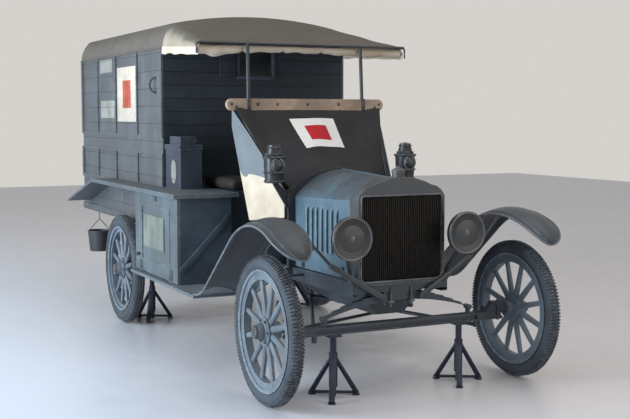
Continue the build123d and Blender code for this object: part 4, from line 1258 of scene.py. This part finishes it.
@dataclass
class Lamps:
    """Lenses, rims and fittings of the head lamps and side lamps. Profiles are length and radius."""

    head: Spot = (0.348, 0.0, 0.845)
    side: Spot = (0.431, 0.657, 1.192)
    lens: tuple[Pair, ...] = ((0.1255, 0.106), (0.130, 0.090), (0.136, 0.060), (0.139, 0.030), (0.140, 0.0))
    rim: tuple[Pair, ...] = ((0.130, 0.1145), (0.137, 0.1155), (0.141, 0.112), (0.1415, 0.106),
                             (0.138, 0.1005), (0.130, 0.1005))
    boss: tuple[Pair, ...] = ((0.139, 0.022), (0.142, 0.020), (0.1445, 0.010), (0.145, 0.0))
    side_lens: tuple[Pair, ...] = ((0.0, 0.036), (0.010, 0.034), (0.018, 0.026), (0.022, 0.012), (0.023, 0.0))
    side_rim: tuple[Pair, ...] = ((-0.008, 0.036), (0.002, 0.042), (0.008, 0.041), (0.009, 0.035))
    rings: tuple[Spot, ...] = ((1.100, 0.057, 0.006), (1.150, 0.062, 0.005), (1.236, 0.066, 0.006),
                               (1.252, 0.050, 0.005), (1.291, 0.038, 0.004))

    def build(self) -> None:
        """Build the lenses and fittings on both sides."""
        for side, label in SIDES:
            front = LAY.at(side * self.head[0], *self.head[1:])
            for name, profile, steps, finish in (("head_lens", self.lens, 48, GLASS),
                                                 ("head_rim", self.rim, 64, RIM_METAL),
                                                 ("head_boss", self.boss, 20, RIM_METAL)):
                new_object(f"{name}_{label}", turned(front, AHEAD, profile, steps, 60.0), finish)
            x, station, height = side * self.side[0], *self.side[1:]
            rings = [turned(LAY.at(x, station, z), UP,
                            [(-thick, radius - 0.008), (-thick, radius), (0, radius + 0.003), (thick, radius),
                             (thick, radius - 0.008)], 28, 60.0) for z, radius, thick in self.rings]
            new_object(f"side_lamp_rings_{label}", rings, LAMP_PAINT)
            for name, profile, finish in (("side_lens", self.side_lens, GLASS),
                                          ("side_rim", self.side_rim, RIM_METAL)):
                face = LAY.at(x, station - 0.050, height)
                new_object(f"{name}_{label}", turned(face, AHEAD, profile, 28, 60.0), finish)


@dataclass
class BodyTrim:
    """Screws, marks and fittings of the wooden body."""

    batten_stations: tuple[float, ...] = (1.945, 2.485, 3.025, 3.530, 4.008)
    band: Pair = (1.215, 1.330)
    pitch: float = 0.118
    window: Spot = (0.120, 1.738, 1.935)
    strip: float = 0.022
    grip: Pair = (2.069, 1.674)
    label: Pair = (1.735, 1.110)

    def build(self) -> None:
        """Build the trim on both sides, at the front wall and along the eaves."""
        self.screws()
        self.marks()
        self.handles()
        self.eaves()
        self.front_window()
        self.chest_label()

    def screws(self) -> None:
        """Screw heads along the battens, above and below the plain band."""
        heads = [(LAY.at(side * (LAY.body_half + 0.012), station, z), Vector((side, 0, 0)))
                 for side, _ in SIDES for station in self.batten_stations
                 for low, high in ((self.band[1], LAY.eave), (LAY.shelf_top, self.band[0]))
                 for z in np.arange(low + 0.05, high - 0.02, self.pitch)]
        scattered("batten_screws", dome_head(0.005, 0.0025), heads, CHASSIS_PAINT)

    def marks(self) -> None:
        """Plain cream panel with a red square on each side, and two faded patches on the right."""
        for side, label in SIDES:
            for name, finish, span, rise, out in (
                ("white_panel", CREAM_PANEL, (2.512, 2.998), (1.427, 1.822), 0.0012),
                ("red_square", FADED_RED, (2.655, 2.855), (1.525, 1.725), 0.0020),
                ("upper_patch", PATCH, (3.135, 3.472), (1.798, 1.895), 0.0012),
                ("lower_patch", PATCH, (3.073, 3.462), (1.452, 1.584), 0.0012),
            ):
                if side < 0 or finish is not PATCH:
                    plate = block((side * LAY.body_half, side * (LAY.body_half + out)), span, rise, 0.0004)
                    new_object(f"{name}_{label}", plate, finish)

    def handles(self) -> None:
        """Bent grab handle at the front end of each side."""
        station, height = self.grip
        grips = [tube([LAY.at(side * (LAY.body_half + 0.004 + 0.036 * math.sin(a)),
                              station + 0.020 * math.sin(a), height + 0.050 * math.cos(a))
                       for a in np.linspace(0, math.pi, 13)], 0.008) for side, _ in SIDES]
        new_object("grab_handles", grips, CHASSIS_PAINT)

    def eaves(self) -> None:
        """Bead that holds the roof cloth along each eave, with its tacks."""
        beads, tacks = [], []
        for side, _ in SIDES:
            x = side * (LAY.body_half + 0.002)
            beads.append(tube([LAY.at(x, LAY.body_front, LAY.eave + 0.006),
                               LAY.at(x, LAY.body_rear + 0.02, LAY.eave + 0.006)], 0.008, 8))
            out = Vector((side, 0, 0))
            tacks += [(LAY.at(0, station, LAY.eave + 0.008) + out * (LAY.body_half + 0.009), out)
                      for station in np.arange(LAY.body_front + 0.02, LAY.body_rear, 0.045)]
        new_object("eave_beads", beads, ROOF_CANVAS)
        scattered("eave_tacks", dome_head(0.0042, 0.002), tacks, CHASSIS_PAINT)

    def front_window(self) -> None:
        """Narrow frame round the front wall's window, and its shutter slid half aside."""
        (half, low, high), face, wide = self.window, LAY.body_front, self.strip
        front = (face - 0.008, face)
        strips = [block((-half - wide, half + wide), front, (low - wide, low)),
                  block((-half - wide, half + wide), front, (high, high + wide))]
        strips += [block((side * half, side * (half + wide)), front, (low, high)) for side, _ in SIDES]
        new_object("window_frame", strips, DARK_WOOD)
        shutter = block((-half - 0.150, -half - 0.026), (face - 0.012, face - 0.001),
                        (low - 0.006, high + 0.006))
        new_object("window_shutter", shutter, SHADED_WALL_PAINT)

    def chest_label(self) -> None:
        """Blank oval label on the chest's outer side."""
        (station, height), face = self.label, 0.0055 - LAY.body_half
        outline = []
        for a in np.linspace(0, 2 * math.pi, 32, endpoint=False):
            reach = math.cos(a) * (1 if abs(math.cos(a)) < 0.75 else 0.97)
            outline.append(LAY.at(face, station + 0.052 * reach, height + 0.078 * math.sin(a)))
        new_object("chest_label", prism(outline, Vector((-0.0025, 0, 0)), 0.0004), PATCH)


@dataclass
class Fittings:
    """Fittings of the bar, the lockers, the axle stands, the springs and the roof's rod."""

    bolt_places: tuple[float, ...] = (-0.505, -0.335, -0.205, 0.0, 0.215, 0.505)
    post_x: float = 0.390
    locker_face: float = 0.820
    panel_stations: Pair = (1.365, 1.912)
    panel_heights: Pair = (0.540, 0.885)
    moulding: float = 0.014
    stands: tuple[Pair, ...] = ((0.389, 0.0), (0.560, LAY.wheelbase))
    leg_reach: float = 0.135
    leg_turn: float = -120.0
    clip_rows: tuple[Spot, ...] = ((0.0, 0.036, 0.493), (LAY.wheelbase, 0.040, 0.600))
    clip_x: float = 0.062

    def build(self) -> None:
        """Build the fittings of each place in turn."""
        self.bar()
        for side, label in SIDES:
            self.locker(side, label)
        self.feet()
        self.clips()
        hooks = [tube([LAY.at(side * x, LAY.rod_station, LAY.rod_z - drop)
                       for x, drop in ((0.698, 0), (0.708, 0.006), (0.712, 0.020), (0.712, 0.066))], 0.006)
                 for side, _ in SIDES]
        new_object("rod_hooks", hooks, LAMP_PAINT)

    def bar(self) -> None:
        """Bolt heads along the board's front, and an iron strap under each post."""
        front = LAY.bar_station - 0.015
        bolts = [(LAY.at(x, front, LAY.bar_z + 0.004), AHEAD) for x in self.bolt_places]
        scattered("bar_bolts", dome_head(0.011, 0.006), bolts, CHASSIS_PAINT, 0.15)
        straps = [block(about(side * self.post_x, 0.012), (front - 0.004, front + 0.034),
                        about(LAY.bar_z, 0.039)) for side, _ in SIDES]
        new_object("post_straps", straps, LAMP_PAINT)

    def locker(self, side: int, label: str) -> None:
        """Moulding, hinges, knob and catch of a locker's door, and the brace on the locker's front.

        Args:
            side: -1 on the right, 1 on the left.
            label: Word for that side.
        """
        body, face = f"locker_door_{label}", self.locker_face
        (y0, y1), (z0, z1), rim = self.panel_stations, self.panel_heights, self.moulding

        def strip(stations: Pair, heights: Pair, depth: float) -> Mesh:
            """Flat strip on the door's face."""
            return block((side * face, side * (face + depth)), stations, heights, 0.0015)

        moulding = [strip((y0 - rim, y1 + rim), (z0 - rim, z0), 0.004),
                    strip((y0 - rim, y1 + rim), (z1, z1 + rim), 0.004),
                    strip((y0 - rim, y0), (z0, z1), 0.004), strip((y1, y1 + rim), (z0, z1), 0.004)]
        new_object(f"door_moulding_{label}", moulding, WOOD_PAINT, body)
        if side < 0:
            notice = strip((1.470, 1.880), (0.622, 0.835), 0.001)
            new_object(f"door_notice_{label}", notice, NOTICE_PAINT, body)
        knob = [(0.0, 0.009), (0.012, 0.008), (0.016, 0.014), (0.024, 0.014), (0.028, 0.0)]
        irons = [*(strip((station, station + 0.060), (0.462, 0.530), 0.003) for station in (1.305, 1.912)),
                 turned(LAY.at(side * face, 1.973, 0.560), Vector((side, 0, 0)), knob, 16),
                 strip((1.600, 1.660), (0.930, 0.962), 0.005)]
        new_object(f"door_irons_{label}", irons, CHASSIS_PAINT, body)
        start, end = LAY.at(side * 0.797, 1.215, 0.531), LAY.at(side * 0.481, 1.215, 0.857)
        across = (end - start).normalized().cross(-AHEAD) * 0.020
        brace = prism([start + across, end + across, end - across, start - across], AHEAD * 0.010, 0.002)
        new_object(f"locker_brace_{label}", brace, DARK_WOOD)

    def feet(self) -> None:
        """Angle legs over the stands' rods, tied by bars near the floor."""
        pieces = []
        for x, station in self.stands:
            for side, _ in SIDES:
                foot = LAY.at(side * x, station, 0)
                top = foot + UP * 0.222
                ways = [Vector((math.cos(a), math.sin(a), 0))
                        for a in (math.radians(self.leg_turn + 120 * leg) for leg in range(3))]
                tips = [foot + way * self.leg_reach + UP * 0.014 for way in ways]
                for way, tip in zip(ways, tips):
                    wide = way.cross(UP) * 0.0155
                    corners = [top + wide, top - wide, tip - wide, tip + wide]
                    pieces.append(prism(corners, way * 0.014, 0.0015))
                pieces.append(tube(tips[1:], 0.008, 8))
                pieces.append(tube([foot + UP * 0.010, foot + UP * 0.070], 0.016, 16))
        new_object("stand_legs", pieces, STAND_PAINT)

    def clips(self) -> None:
        """Clips that hold each leaf spring to its cross member, with their plates and nuts."""
        irons, nuts = [], []
        for station, reach, low in self.clip_rows:
            for side, _ in SIDES:
                x = side * self.clip_x
                for y in about(station, reach):
                    irons.append(tube([LAY.at(x, y, low - 0.030), LAY.at(x, y, low + 0.066)], 0.005))
                    nuts.append((LAY.at(x, y, low - 0.012), -UP))
                irons.append(block(about(x, 0.016), about(station, reach + 0.010),
                                   (low - 0.012, low - 0.002), 0.001))
        new_object("spring_clips", irons, EDGE_PAINT)
        scattered("clip_nuts", hex_nut(0.009, 0.010), nuts, CHASSIS_PAINT, 0.15)


@dataclass
class Fenders:
    """Front fenders: crowned sheets with a wired edge and a round tip, and the irons that hold them."""

    middle: float = 0.730
    edge: float = 0.124
    crown: float = 0.038
    skin: float = 0.0022
    wire: float = 0.006
    tip: Pair = (-0.345, 0.800)
    radius: float = 0.481
    rise: float = math.radians(42.2)
    fall: float = math.radians(38.7)
    foot_radius: float = 0.300
    foot_z: float = 0.4563
    past_tip: float = 0.022
    round_tip: float = 0.170
    inner_flare: float = 0.052
    flare_length: float = 0.50
    bead: Spot = (0.0050, 0.79, 0.035)

    def build(self) -> None:
        """Build both fenders as one piece with their irons."""
        meshes, wires = [], []
        for side, _ in SIDES:
            plate, wire = self.sheet(side)
            meshes += [plate, *self.irons(side)]
            wires.append(wire)
        new_object("fender_wires", wires, EDGE_PAINT)
        made = new_object("fender_sheets", meshes, FENDER_PAINT)
        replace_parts(made, "fenders")

    def run(self) -> np.ndarray:
        """Walk along the sheet's middle line.

        Returns:
            Path length from the tip, station, height and the angle of the outward normal, row by row.
        """
        rise, fall, radius, foot = self.rise, self.fall, self.radius, self.foot_radius
        start, near = -rise - self.past_tip / radius, -rise + self.round_tip / radius
        a = np.concatenate([start + (near - start) * (1 - np.cos(np.linspace(0, math.pi / 2, 16))),
                            np.linspace(near, fall, 44)[1:]])
        arch = np.stack([radius * (a + rise), self.tip[0] + radius * (math.sin(rise) + np.sin(a)),
                         self.tip[1] - radius * (math.cos(rise) - np.cos(a)), a], 1)
        drop = arch[-1, 2] - self.foot_z - foot * (1 - math.cos(fall))
        down = arch[-1] + np.linspace(0, drop, 9)[1:, None] * [1 / math.sin(fall), 1 / math.tan(fall), -1, 0]
        b = np.linspace(fall, 0, 14)[1:]
        heel = down[-1] + np.stack([foot * (fall - b), foot * (math.sin(fall) - np.sin(b)),
                                    foot * (math.cos(fall) - np.cos(b)), b - fall], 1)
        return np.concatenate([arch, down, heel])

    def sheet(self, side: int) -> tuple[Mesh, Mesh]:
        """Build one crowned sheet and the wire rolled into its edge.

        Args:
            side: -1 on the right, 1 on the left.

        Returns:
            The sheet's mesh and the wire's.
        """
        s, y, z, a = self.run().T[:, :, None]
        u = np.linspace(-1, 1, 65)[None, :]
        far = np.maximum(0.0, (self.round_tip - s) / (self.round_tip + self.past_tip))
        share = np.sqrt(np.maximum(0.0, 1 - far**2.3))
        inner = self.inner_flare * np.maximum(0.0, -u)
        flare = inner * np.maximum(0.0, 1 - np.maximum(s, 0.0) / self.flare_length)
        height, place, width = self.bead
        lift = (self.crown * (1 - u * u) + height * bumps(np.abs(u), (place,), width)) * share**0.6
        x = self.middle + self.edge * share * u + flare * share
        outer, inside = (grid_of(side * x, y + (lift - depth) * np.sin(a), z + (lift - depth) * np.cos(a))
                         for depth in (0.0, self.skin))
        top = grid_faces(len(s), u.size)
        rim = [Vector(p) for p in (*outer[::-1, 0], *outer[1:, -1])]
        return two_layers(outer, inside, top + moved(top, x.size), 40.0), tube(rim, self.wire)

    def irons(self, side: int) -> list[Mesh]:
        """Build the flat iron before the radiator and the round irons of one side.

        Args:
            side: -1 on the right, 1 on the left.

        Returns:
            Their meshes.
        """
        outline = ((0.095, 0.493), (0.110, 0.525), (0.415, 0.710), (0.436, 0.710), (0.436, 0.690),
                   (0.112, 0.493))
        flat = prism([LAY.at(side * x, -0.057, z) for x, z in outline], -AHEAD * 0.016, 0.0015)
        rods = (((0.426, -0.049, 0.700), (0.640, -0.030, 0.934)),
                ((0.190, -0.041, 0.560), (0.190, -0.030, 0.560)),
                ((0.292, 0.560, 0.570), (0.440, 0.560, 0.570)),
                ((0.440, 0.560, 0.570), (0.632, 0.560, 0.604)))
        return [flat, *(tube([LAY.at(side * x, station, z) for x, station, z in rod], 0.008, 12)
                        for rod in rods)]


@dataclass
class SoftGoods:
    """Canopy, valance roll, apron, side curtains, rear roll and seat cushion."""

    front_half: float = 0.700
    slack_places: tuple[float, ...] = (-0.695, -0.60, -0.52, -0.33, -0.04, 0.22, 0.45, 0.695)
    slack_depths: tuple[float, ...] = (0.030, 0.035, 0.030, 0.021, 0.019, 0.022, 0.026, 0.025)

    def build(self) -> None:
        """Build each soft piece in the place of its CAD solid."""
        self.canopy()
        self.valance()
        self.side_valances()
        self.apron()
        self.curtains()
        self.rear_roll()
        self.cushion()

    def arch(self, half: float, eave: float, corner: float, shoulder: float, crown: float) -> np.ndarray:
        """Section of the roof as X and Z, from the right eave over to the left.

        Args:
            half: Half of its width.
            eave: Height of the eaves.
            corner: Width of the round corner.
            shoulder: Height of the corner over the eave.
            crown: Height of the middle over the eave.

        Returns:
            The section's points.
        """
        bend, end = (0.28 * corner - half, eave + 0.56 * shoulder), (corner - half, eave + shoulder)
        right = arc_through((-half, eave), bend, end, 7)
        top = arc_through(end, (0, eave + crown), (-end[0], end[1]), 41)
        return np.concatenate([right, top[1:-1], right[::-1] * [-1, 1]])

    def canopy(self) -> None:
        """One continuous cloth from the body's front arch to the rod."""
        back = self.arch(LAY.body_half, LAY.eave, 0.074, 0.166, LAY.crown - LAY.eave)
        front = self.arch(self.front_half, LAY.rod_z - 0.040, 0.030, 0.050, 0.054)
        t, u = shares(26, len(back))
        x, z = np.moveaxis(mix(back, front, t[..., None]), -1, 0)
        fold = ripple(u, t, [(0.0020, 3, 1.5, 0.4), (0.0012, 7, 2.0, 1.1)])
        z = z - 0.003 + (fold - 0.010 * np.sin(math.pi * u)) * np.sin(math.pi * t)
        grid = grid_of(x, mix(LAY.body_front - 0.002, LAY.rod_station + 0.010, t), z)
        top = new_object("canopy_cloth", cloth_sheet(grid), CANOPY_CANVAS)
        across, along = (float(run_along(line)[-1]) for line in (grid[13], grid[:, len(back) // 2]))
        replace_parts(top, "canopy")

    def valance(self) -> None:
        """Cream cloth rolled up under the canopy's front edge, tied at places and slack between them."""
        t, w = shares(110, 30)
        x = mix(self.slack_places[0], self.slack_places[-1], t)
        radius = np.interp(x, self.slack_places, self.slack_depths)
        radius = radius * (1 - 0.30 * bumps(x, (-0.40, -0.13, 0.13, 0.40), 0.012))
        radius = radius * (1 + 0.06 * np.sin(31 * x) + 0.04 * np.sin(53 * x + 1.0))
        a = 3.2 * math.pi * w + math.pi / 2
        r = radius * (0.72 + 0.28 * w) + 0.0012 * np.sin(5 * a + 40 * x)
        grid = grid_of(x, LAY.rod_station + 0.046 + r * np.cos(a), LAY.rod_z - 0.008 - radius + r * np.sin(a))
        roll = new_object("canopy_valance", cloth_sheet(grid), CREAM_CANVAS)
        around = float(np.mean([run_along(row)[-1] for row in grid]))

    def side_valances(self) -> None:
        """Cream edge cloth that hangs along each side of the canopy."""
        t, v = shares(44, 7)
        sway = 0.003 * np.sin(34 * t + 2 * v) * v
        half = LAY.body_half + 0.004 + (self.front_half - LAY.body_half) * t + sway
        station = mix(LAY.body_front - 0.004, LAY.rod_station + 0.008, t)
        z = LAY.eave + 0.012 - 0.045 * t - (0.046 + 0.006 * np.sin(19 * t) * (1 - t)) * v
        for side, label in SIDES:
            cloth = cloth_sheet(grid_of(side * half, station, z))
            strip = new_object(f"side_valance_{label}", cloth, CREAM_CANVAS)

    def apron(self) -> None:
        """Dark waterproof sheet from the bar down to the firewall, with its plain white panel."""
        t, w = shares(28, 36)
        u = 2 * w - 1
        over = np.clip((np.abs(u) - 0.80) / 0.12, 0, 1) ** 2 * np.maximum(0.0, 1 - t / 0.62)
        wave = ripple(w, t, [(0.003, 2, 0.7, 0.3), (0.0015, 5, 1.4, 2.0)]) - 0.010
        x = mix(0.460, 0.312, t) * u * (1 + 0.075 * np.abs(u) ** 8 * (1 - t))
        station = mix(LAY.bar_station - 0.020, LAY.firewall + 0.026, t) - 0.022 * over
        z = mix(1.500, 1.039, t) + mix(0.004, 0.114, t) * (1 - u**2) + 0.016 * over
        z = z + wave * np.sin(math.pi * t)
        grid = grid_of(x, station, z)
        sheet = new_object("apron_cloth", cloth_sheet(grid), DARK_CANVAS)
        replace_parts(sheet, "apron")
        width, length = 1.00, float(run_along(grid[:, 18])[-1])
        area = area_of(grid)
        for name, finish, rows, columns, lift in (
            ("apron_panel", WHITE_PANEL, (0.139, 0.600), (0.320, 0.661), 0.0028),
            ("apron_square", RED_PANEL, (0.255, 0.485), (0.405, 0.575), 0.0038),
        ):
            t, u = shares(12, 14)
            patch = sampled(grid, mix(*rows, t), mix(*columns, u)) + [0, -lift, lift]
            new_object(name, cloth_sheet(patch, 0.0008), finish)

    def curtains(self) -> None:
        """Side curtain on each side: cream cloth, with a grey blue band of painted shade along its upper
        edge.
        """
        stations, rows = (0.674, 0.973, 1.124), 40
        t, v = shares(rows, 18)
        station = mix(stations[0], stations[-1], t)
        half, low, high = (np.interp(station, stations, line) for line in (
            (0.356, 0.448, 0.495), (0.888, 0.850, 1.402), (1.046, 1.362, 1.512)))
        wave = 0.005 * np.sin(26 * station + 5 * v) * np.sin(math.pi * v) * np.sin(math.pi * t)
        share = np.interp(station, (0.674, 0.973, 1.055), (0.16, 0.46, 1.0))
        cream_rows = int(np.argmax(share >= 1.0))
        for side, label in SIDES:
            whole = grid_of(side * (half + 0.003 + wave), station, mix(high, low, v))
            # The grey blue band is the curtain's own cloth in painted shade.
            for name, cloth, near, far, last in (
                (f"side_curtain_{label}", CREAM_CANVAS, share, 1.0, cream_rows),
                (f"side_curtain_{label}_band", SHADED_CURTAIN_CLOTH, 0.0, share, rows),
            ):
                piece = sampled(whole, t, near + (far - near) * v)[:last]
                sheet = new_object(name, cloth_sheet(piece), cloth)
                area = area_of(piece)

    def rear_roll(self) -> None:
        """Rear curtain, rolled up under the header and drawn in at three places."""
        low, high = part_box("rear_curtain")
        centre, radius = (low + high) / 2, (high.z - low.z) / 2 - 0.002
        t, w = shares(60, 28)
        x = low.x + 0.004 + (high.x - low.x - 0.008) * t
        a = 4 * math.pi * w
        r = radius * (0.80 + 0.17 * w) * (1 - 0.14 * bumps(x, (-0.4, 0.0, 0.4), 0.03))
        r = r + 0.0015 * np.sin(9 * a + 14 * t)
        grid = grid_of(x, centre.y - LAY.axle_y + r * np.cos(a), centre.z + r * np.sin(a))
        roll = new_object("rear_curtain_roll", cloth_sheet(grid), CREAM_CANVAS)
        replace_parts(roll, "rear_curtain")
        around = float(run_along(grid[20])[-1])

    def cushion(self) -> None:
        """Cushion of the seat: a crowned pad whose top is drawn into pleats."""
        low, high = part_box("seat_cushion")
        middle, size = (low + high) / 2, high - low
        u, v = (2 * share - 1 for share in shares(65, 41))
        edge = (1 - np.abs(u) ** 8) * (1 - np.abs(v) ** 8)
        pleat = np.abs(np.sin(math.pi * (u + 1) * 6)) ** 0.6
        inset = 0.985 * (1 - 0.02 * np.abs(u * v) ** 6)
        x, y = middle.x + u * size.x / 2 * inset, middle.y + v * size.y / 2 * inset
        top, base = (spread(x, y, middle.z + rise * size.z / 2)
                     for rise in (0.96 * edge**0.28 * (0.82 + 0.18 * pleat), -0.98 * edge**0.12))
        pad = new_object("seat_pad", two_layers(top, base, pillow_faces(65, 41), 60.0), CUSHION)
        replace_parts(pad, "seat_cushion")


@dataclass
class Studio:
    """Camera, lamps, floor and backdrop."""

    camera: Spot = (-2.942, -6.819, 1.472)
    yaw: float = 26.16
    pitch: float = -4.94
    lens: float = 62.23
    sky: Colour = (0.80, 0.85, 0.92)
    backdrop: Colour = (0.66, 0.64, 0.61)

    def build(self) -> None:
        """Set the camera, then the lamps and the room."""
        self.place_camera()
        self.lamps()
        self.room()
        bpy.context.scene.view_settings.view_transform = "Standard"

    def place_camera(self) -> None:
        """Camera at the photograph's viewing angle."""
        data = bpy.data.cameras.new("camera")
        data.lens, data.sensor_width = self.lens, 36.0
        data.clip_start, data.clip_end = 0.1, 100.0
        made = in_scene("camera", data)
        made.location = self.camera
        made.rotation_euler = Euler((math.radians(90 + self.pitch), 0, -math.radians(self.yaw)), "XYZ")
        bpy.context.scene.camera = made

    def lamps(self) -> None:
        """Soft lamps: cool light from the right side, a warm one above and a weak fill."""
        for name, spot, target, size, power, colour in (
            ("side_light", (-8.2, -0.3, 3.3), (0, 0, 1.0), 5.0, 800.0, (0.82, 0.92, 1.0)),
            ("low_light", (-6.6, -1.5, 1.0), (0, -1.2, 0.4), 2.2, 170.0, (0.80, 0.91, 1.0)),
            ("top_light", (1.0, -3.0, 6.5), (0, -0.4, 0.8), 5.5, 150.0, (1.0, 0.95, 0.88)),
            ("front_fill", (3.5, -8.0, 2.4), (0, 0, 0.8), 4.0, 100.0, (1.0, 0.94, 0.88)),
        ):
            data = bpy.data.lights.new(name, "AREA")
            data.energy, data.size, data.color = power, size, colour
            made = in_scene(name, data)
            made.location = spot
            made.rotation_euler = (Vector(target) - Vector(spot)).to_track_quat("-Z", "Y").to_euler()

    def room(self) -> None:
        """Pale glossy floor, and a plain world that shows a warmer grey than it lights with."""
        floor = bpy.data.meshes.new("floor")
        floor.from_pydata([(-14, -12, 0), (14, -12, 0), (14, 16, 0), (-14, 16, 0)], [], [(0, 1, 2, 3)])
        floor.materials.append(FLOOR.material())
        in_scene("floor", floor)
        world = bpy.data.worlds.new("room")
        bpy.context.scene.world = world
        world.use_nodes = True
        g = Graph(world.node_tree)
        camera, glossy, through = (g.add("ShaderNodeLightPath").outputs[f"Is {kind} Ray"]
                                   for kind in ("Camera", "Glossy", "Transmission"))
        seen = g.math("MAXIMUM", camera, g.math("MAXIMUM", glossy, through))
        g.fill(world.node_tree.nodes["Background"].inputs,
               {"Color": g.blend(seen, tinted(self.sky), tinted(self.backdrop)),
                "Strength": g.ramp(seen, 0.0, 1.0, 0.42, 1.0)})


def main() -> None:
    """Build the room and each sub-assembly in turn."""
    logging.basicConfig(level=logging.INFO, format="%(name)s: %(message)s")
    for part in (Studio(), CarriedNodes(), Tyres(), WheelDress(), Radiator(), Bonnet(), Lamps(), BodyTrim(),
                 Fittings(), Fenders(), SoftGoods()):
        part.build()


if __name__ == "__main__":
    main()
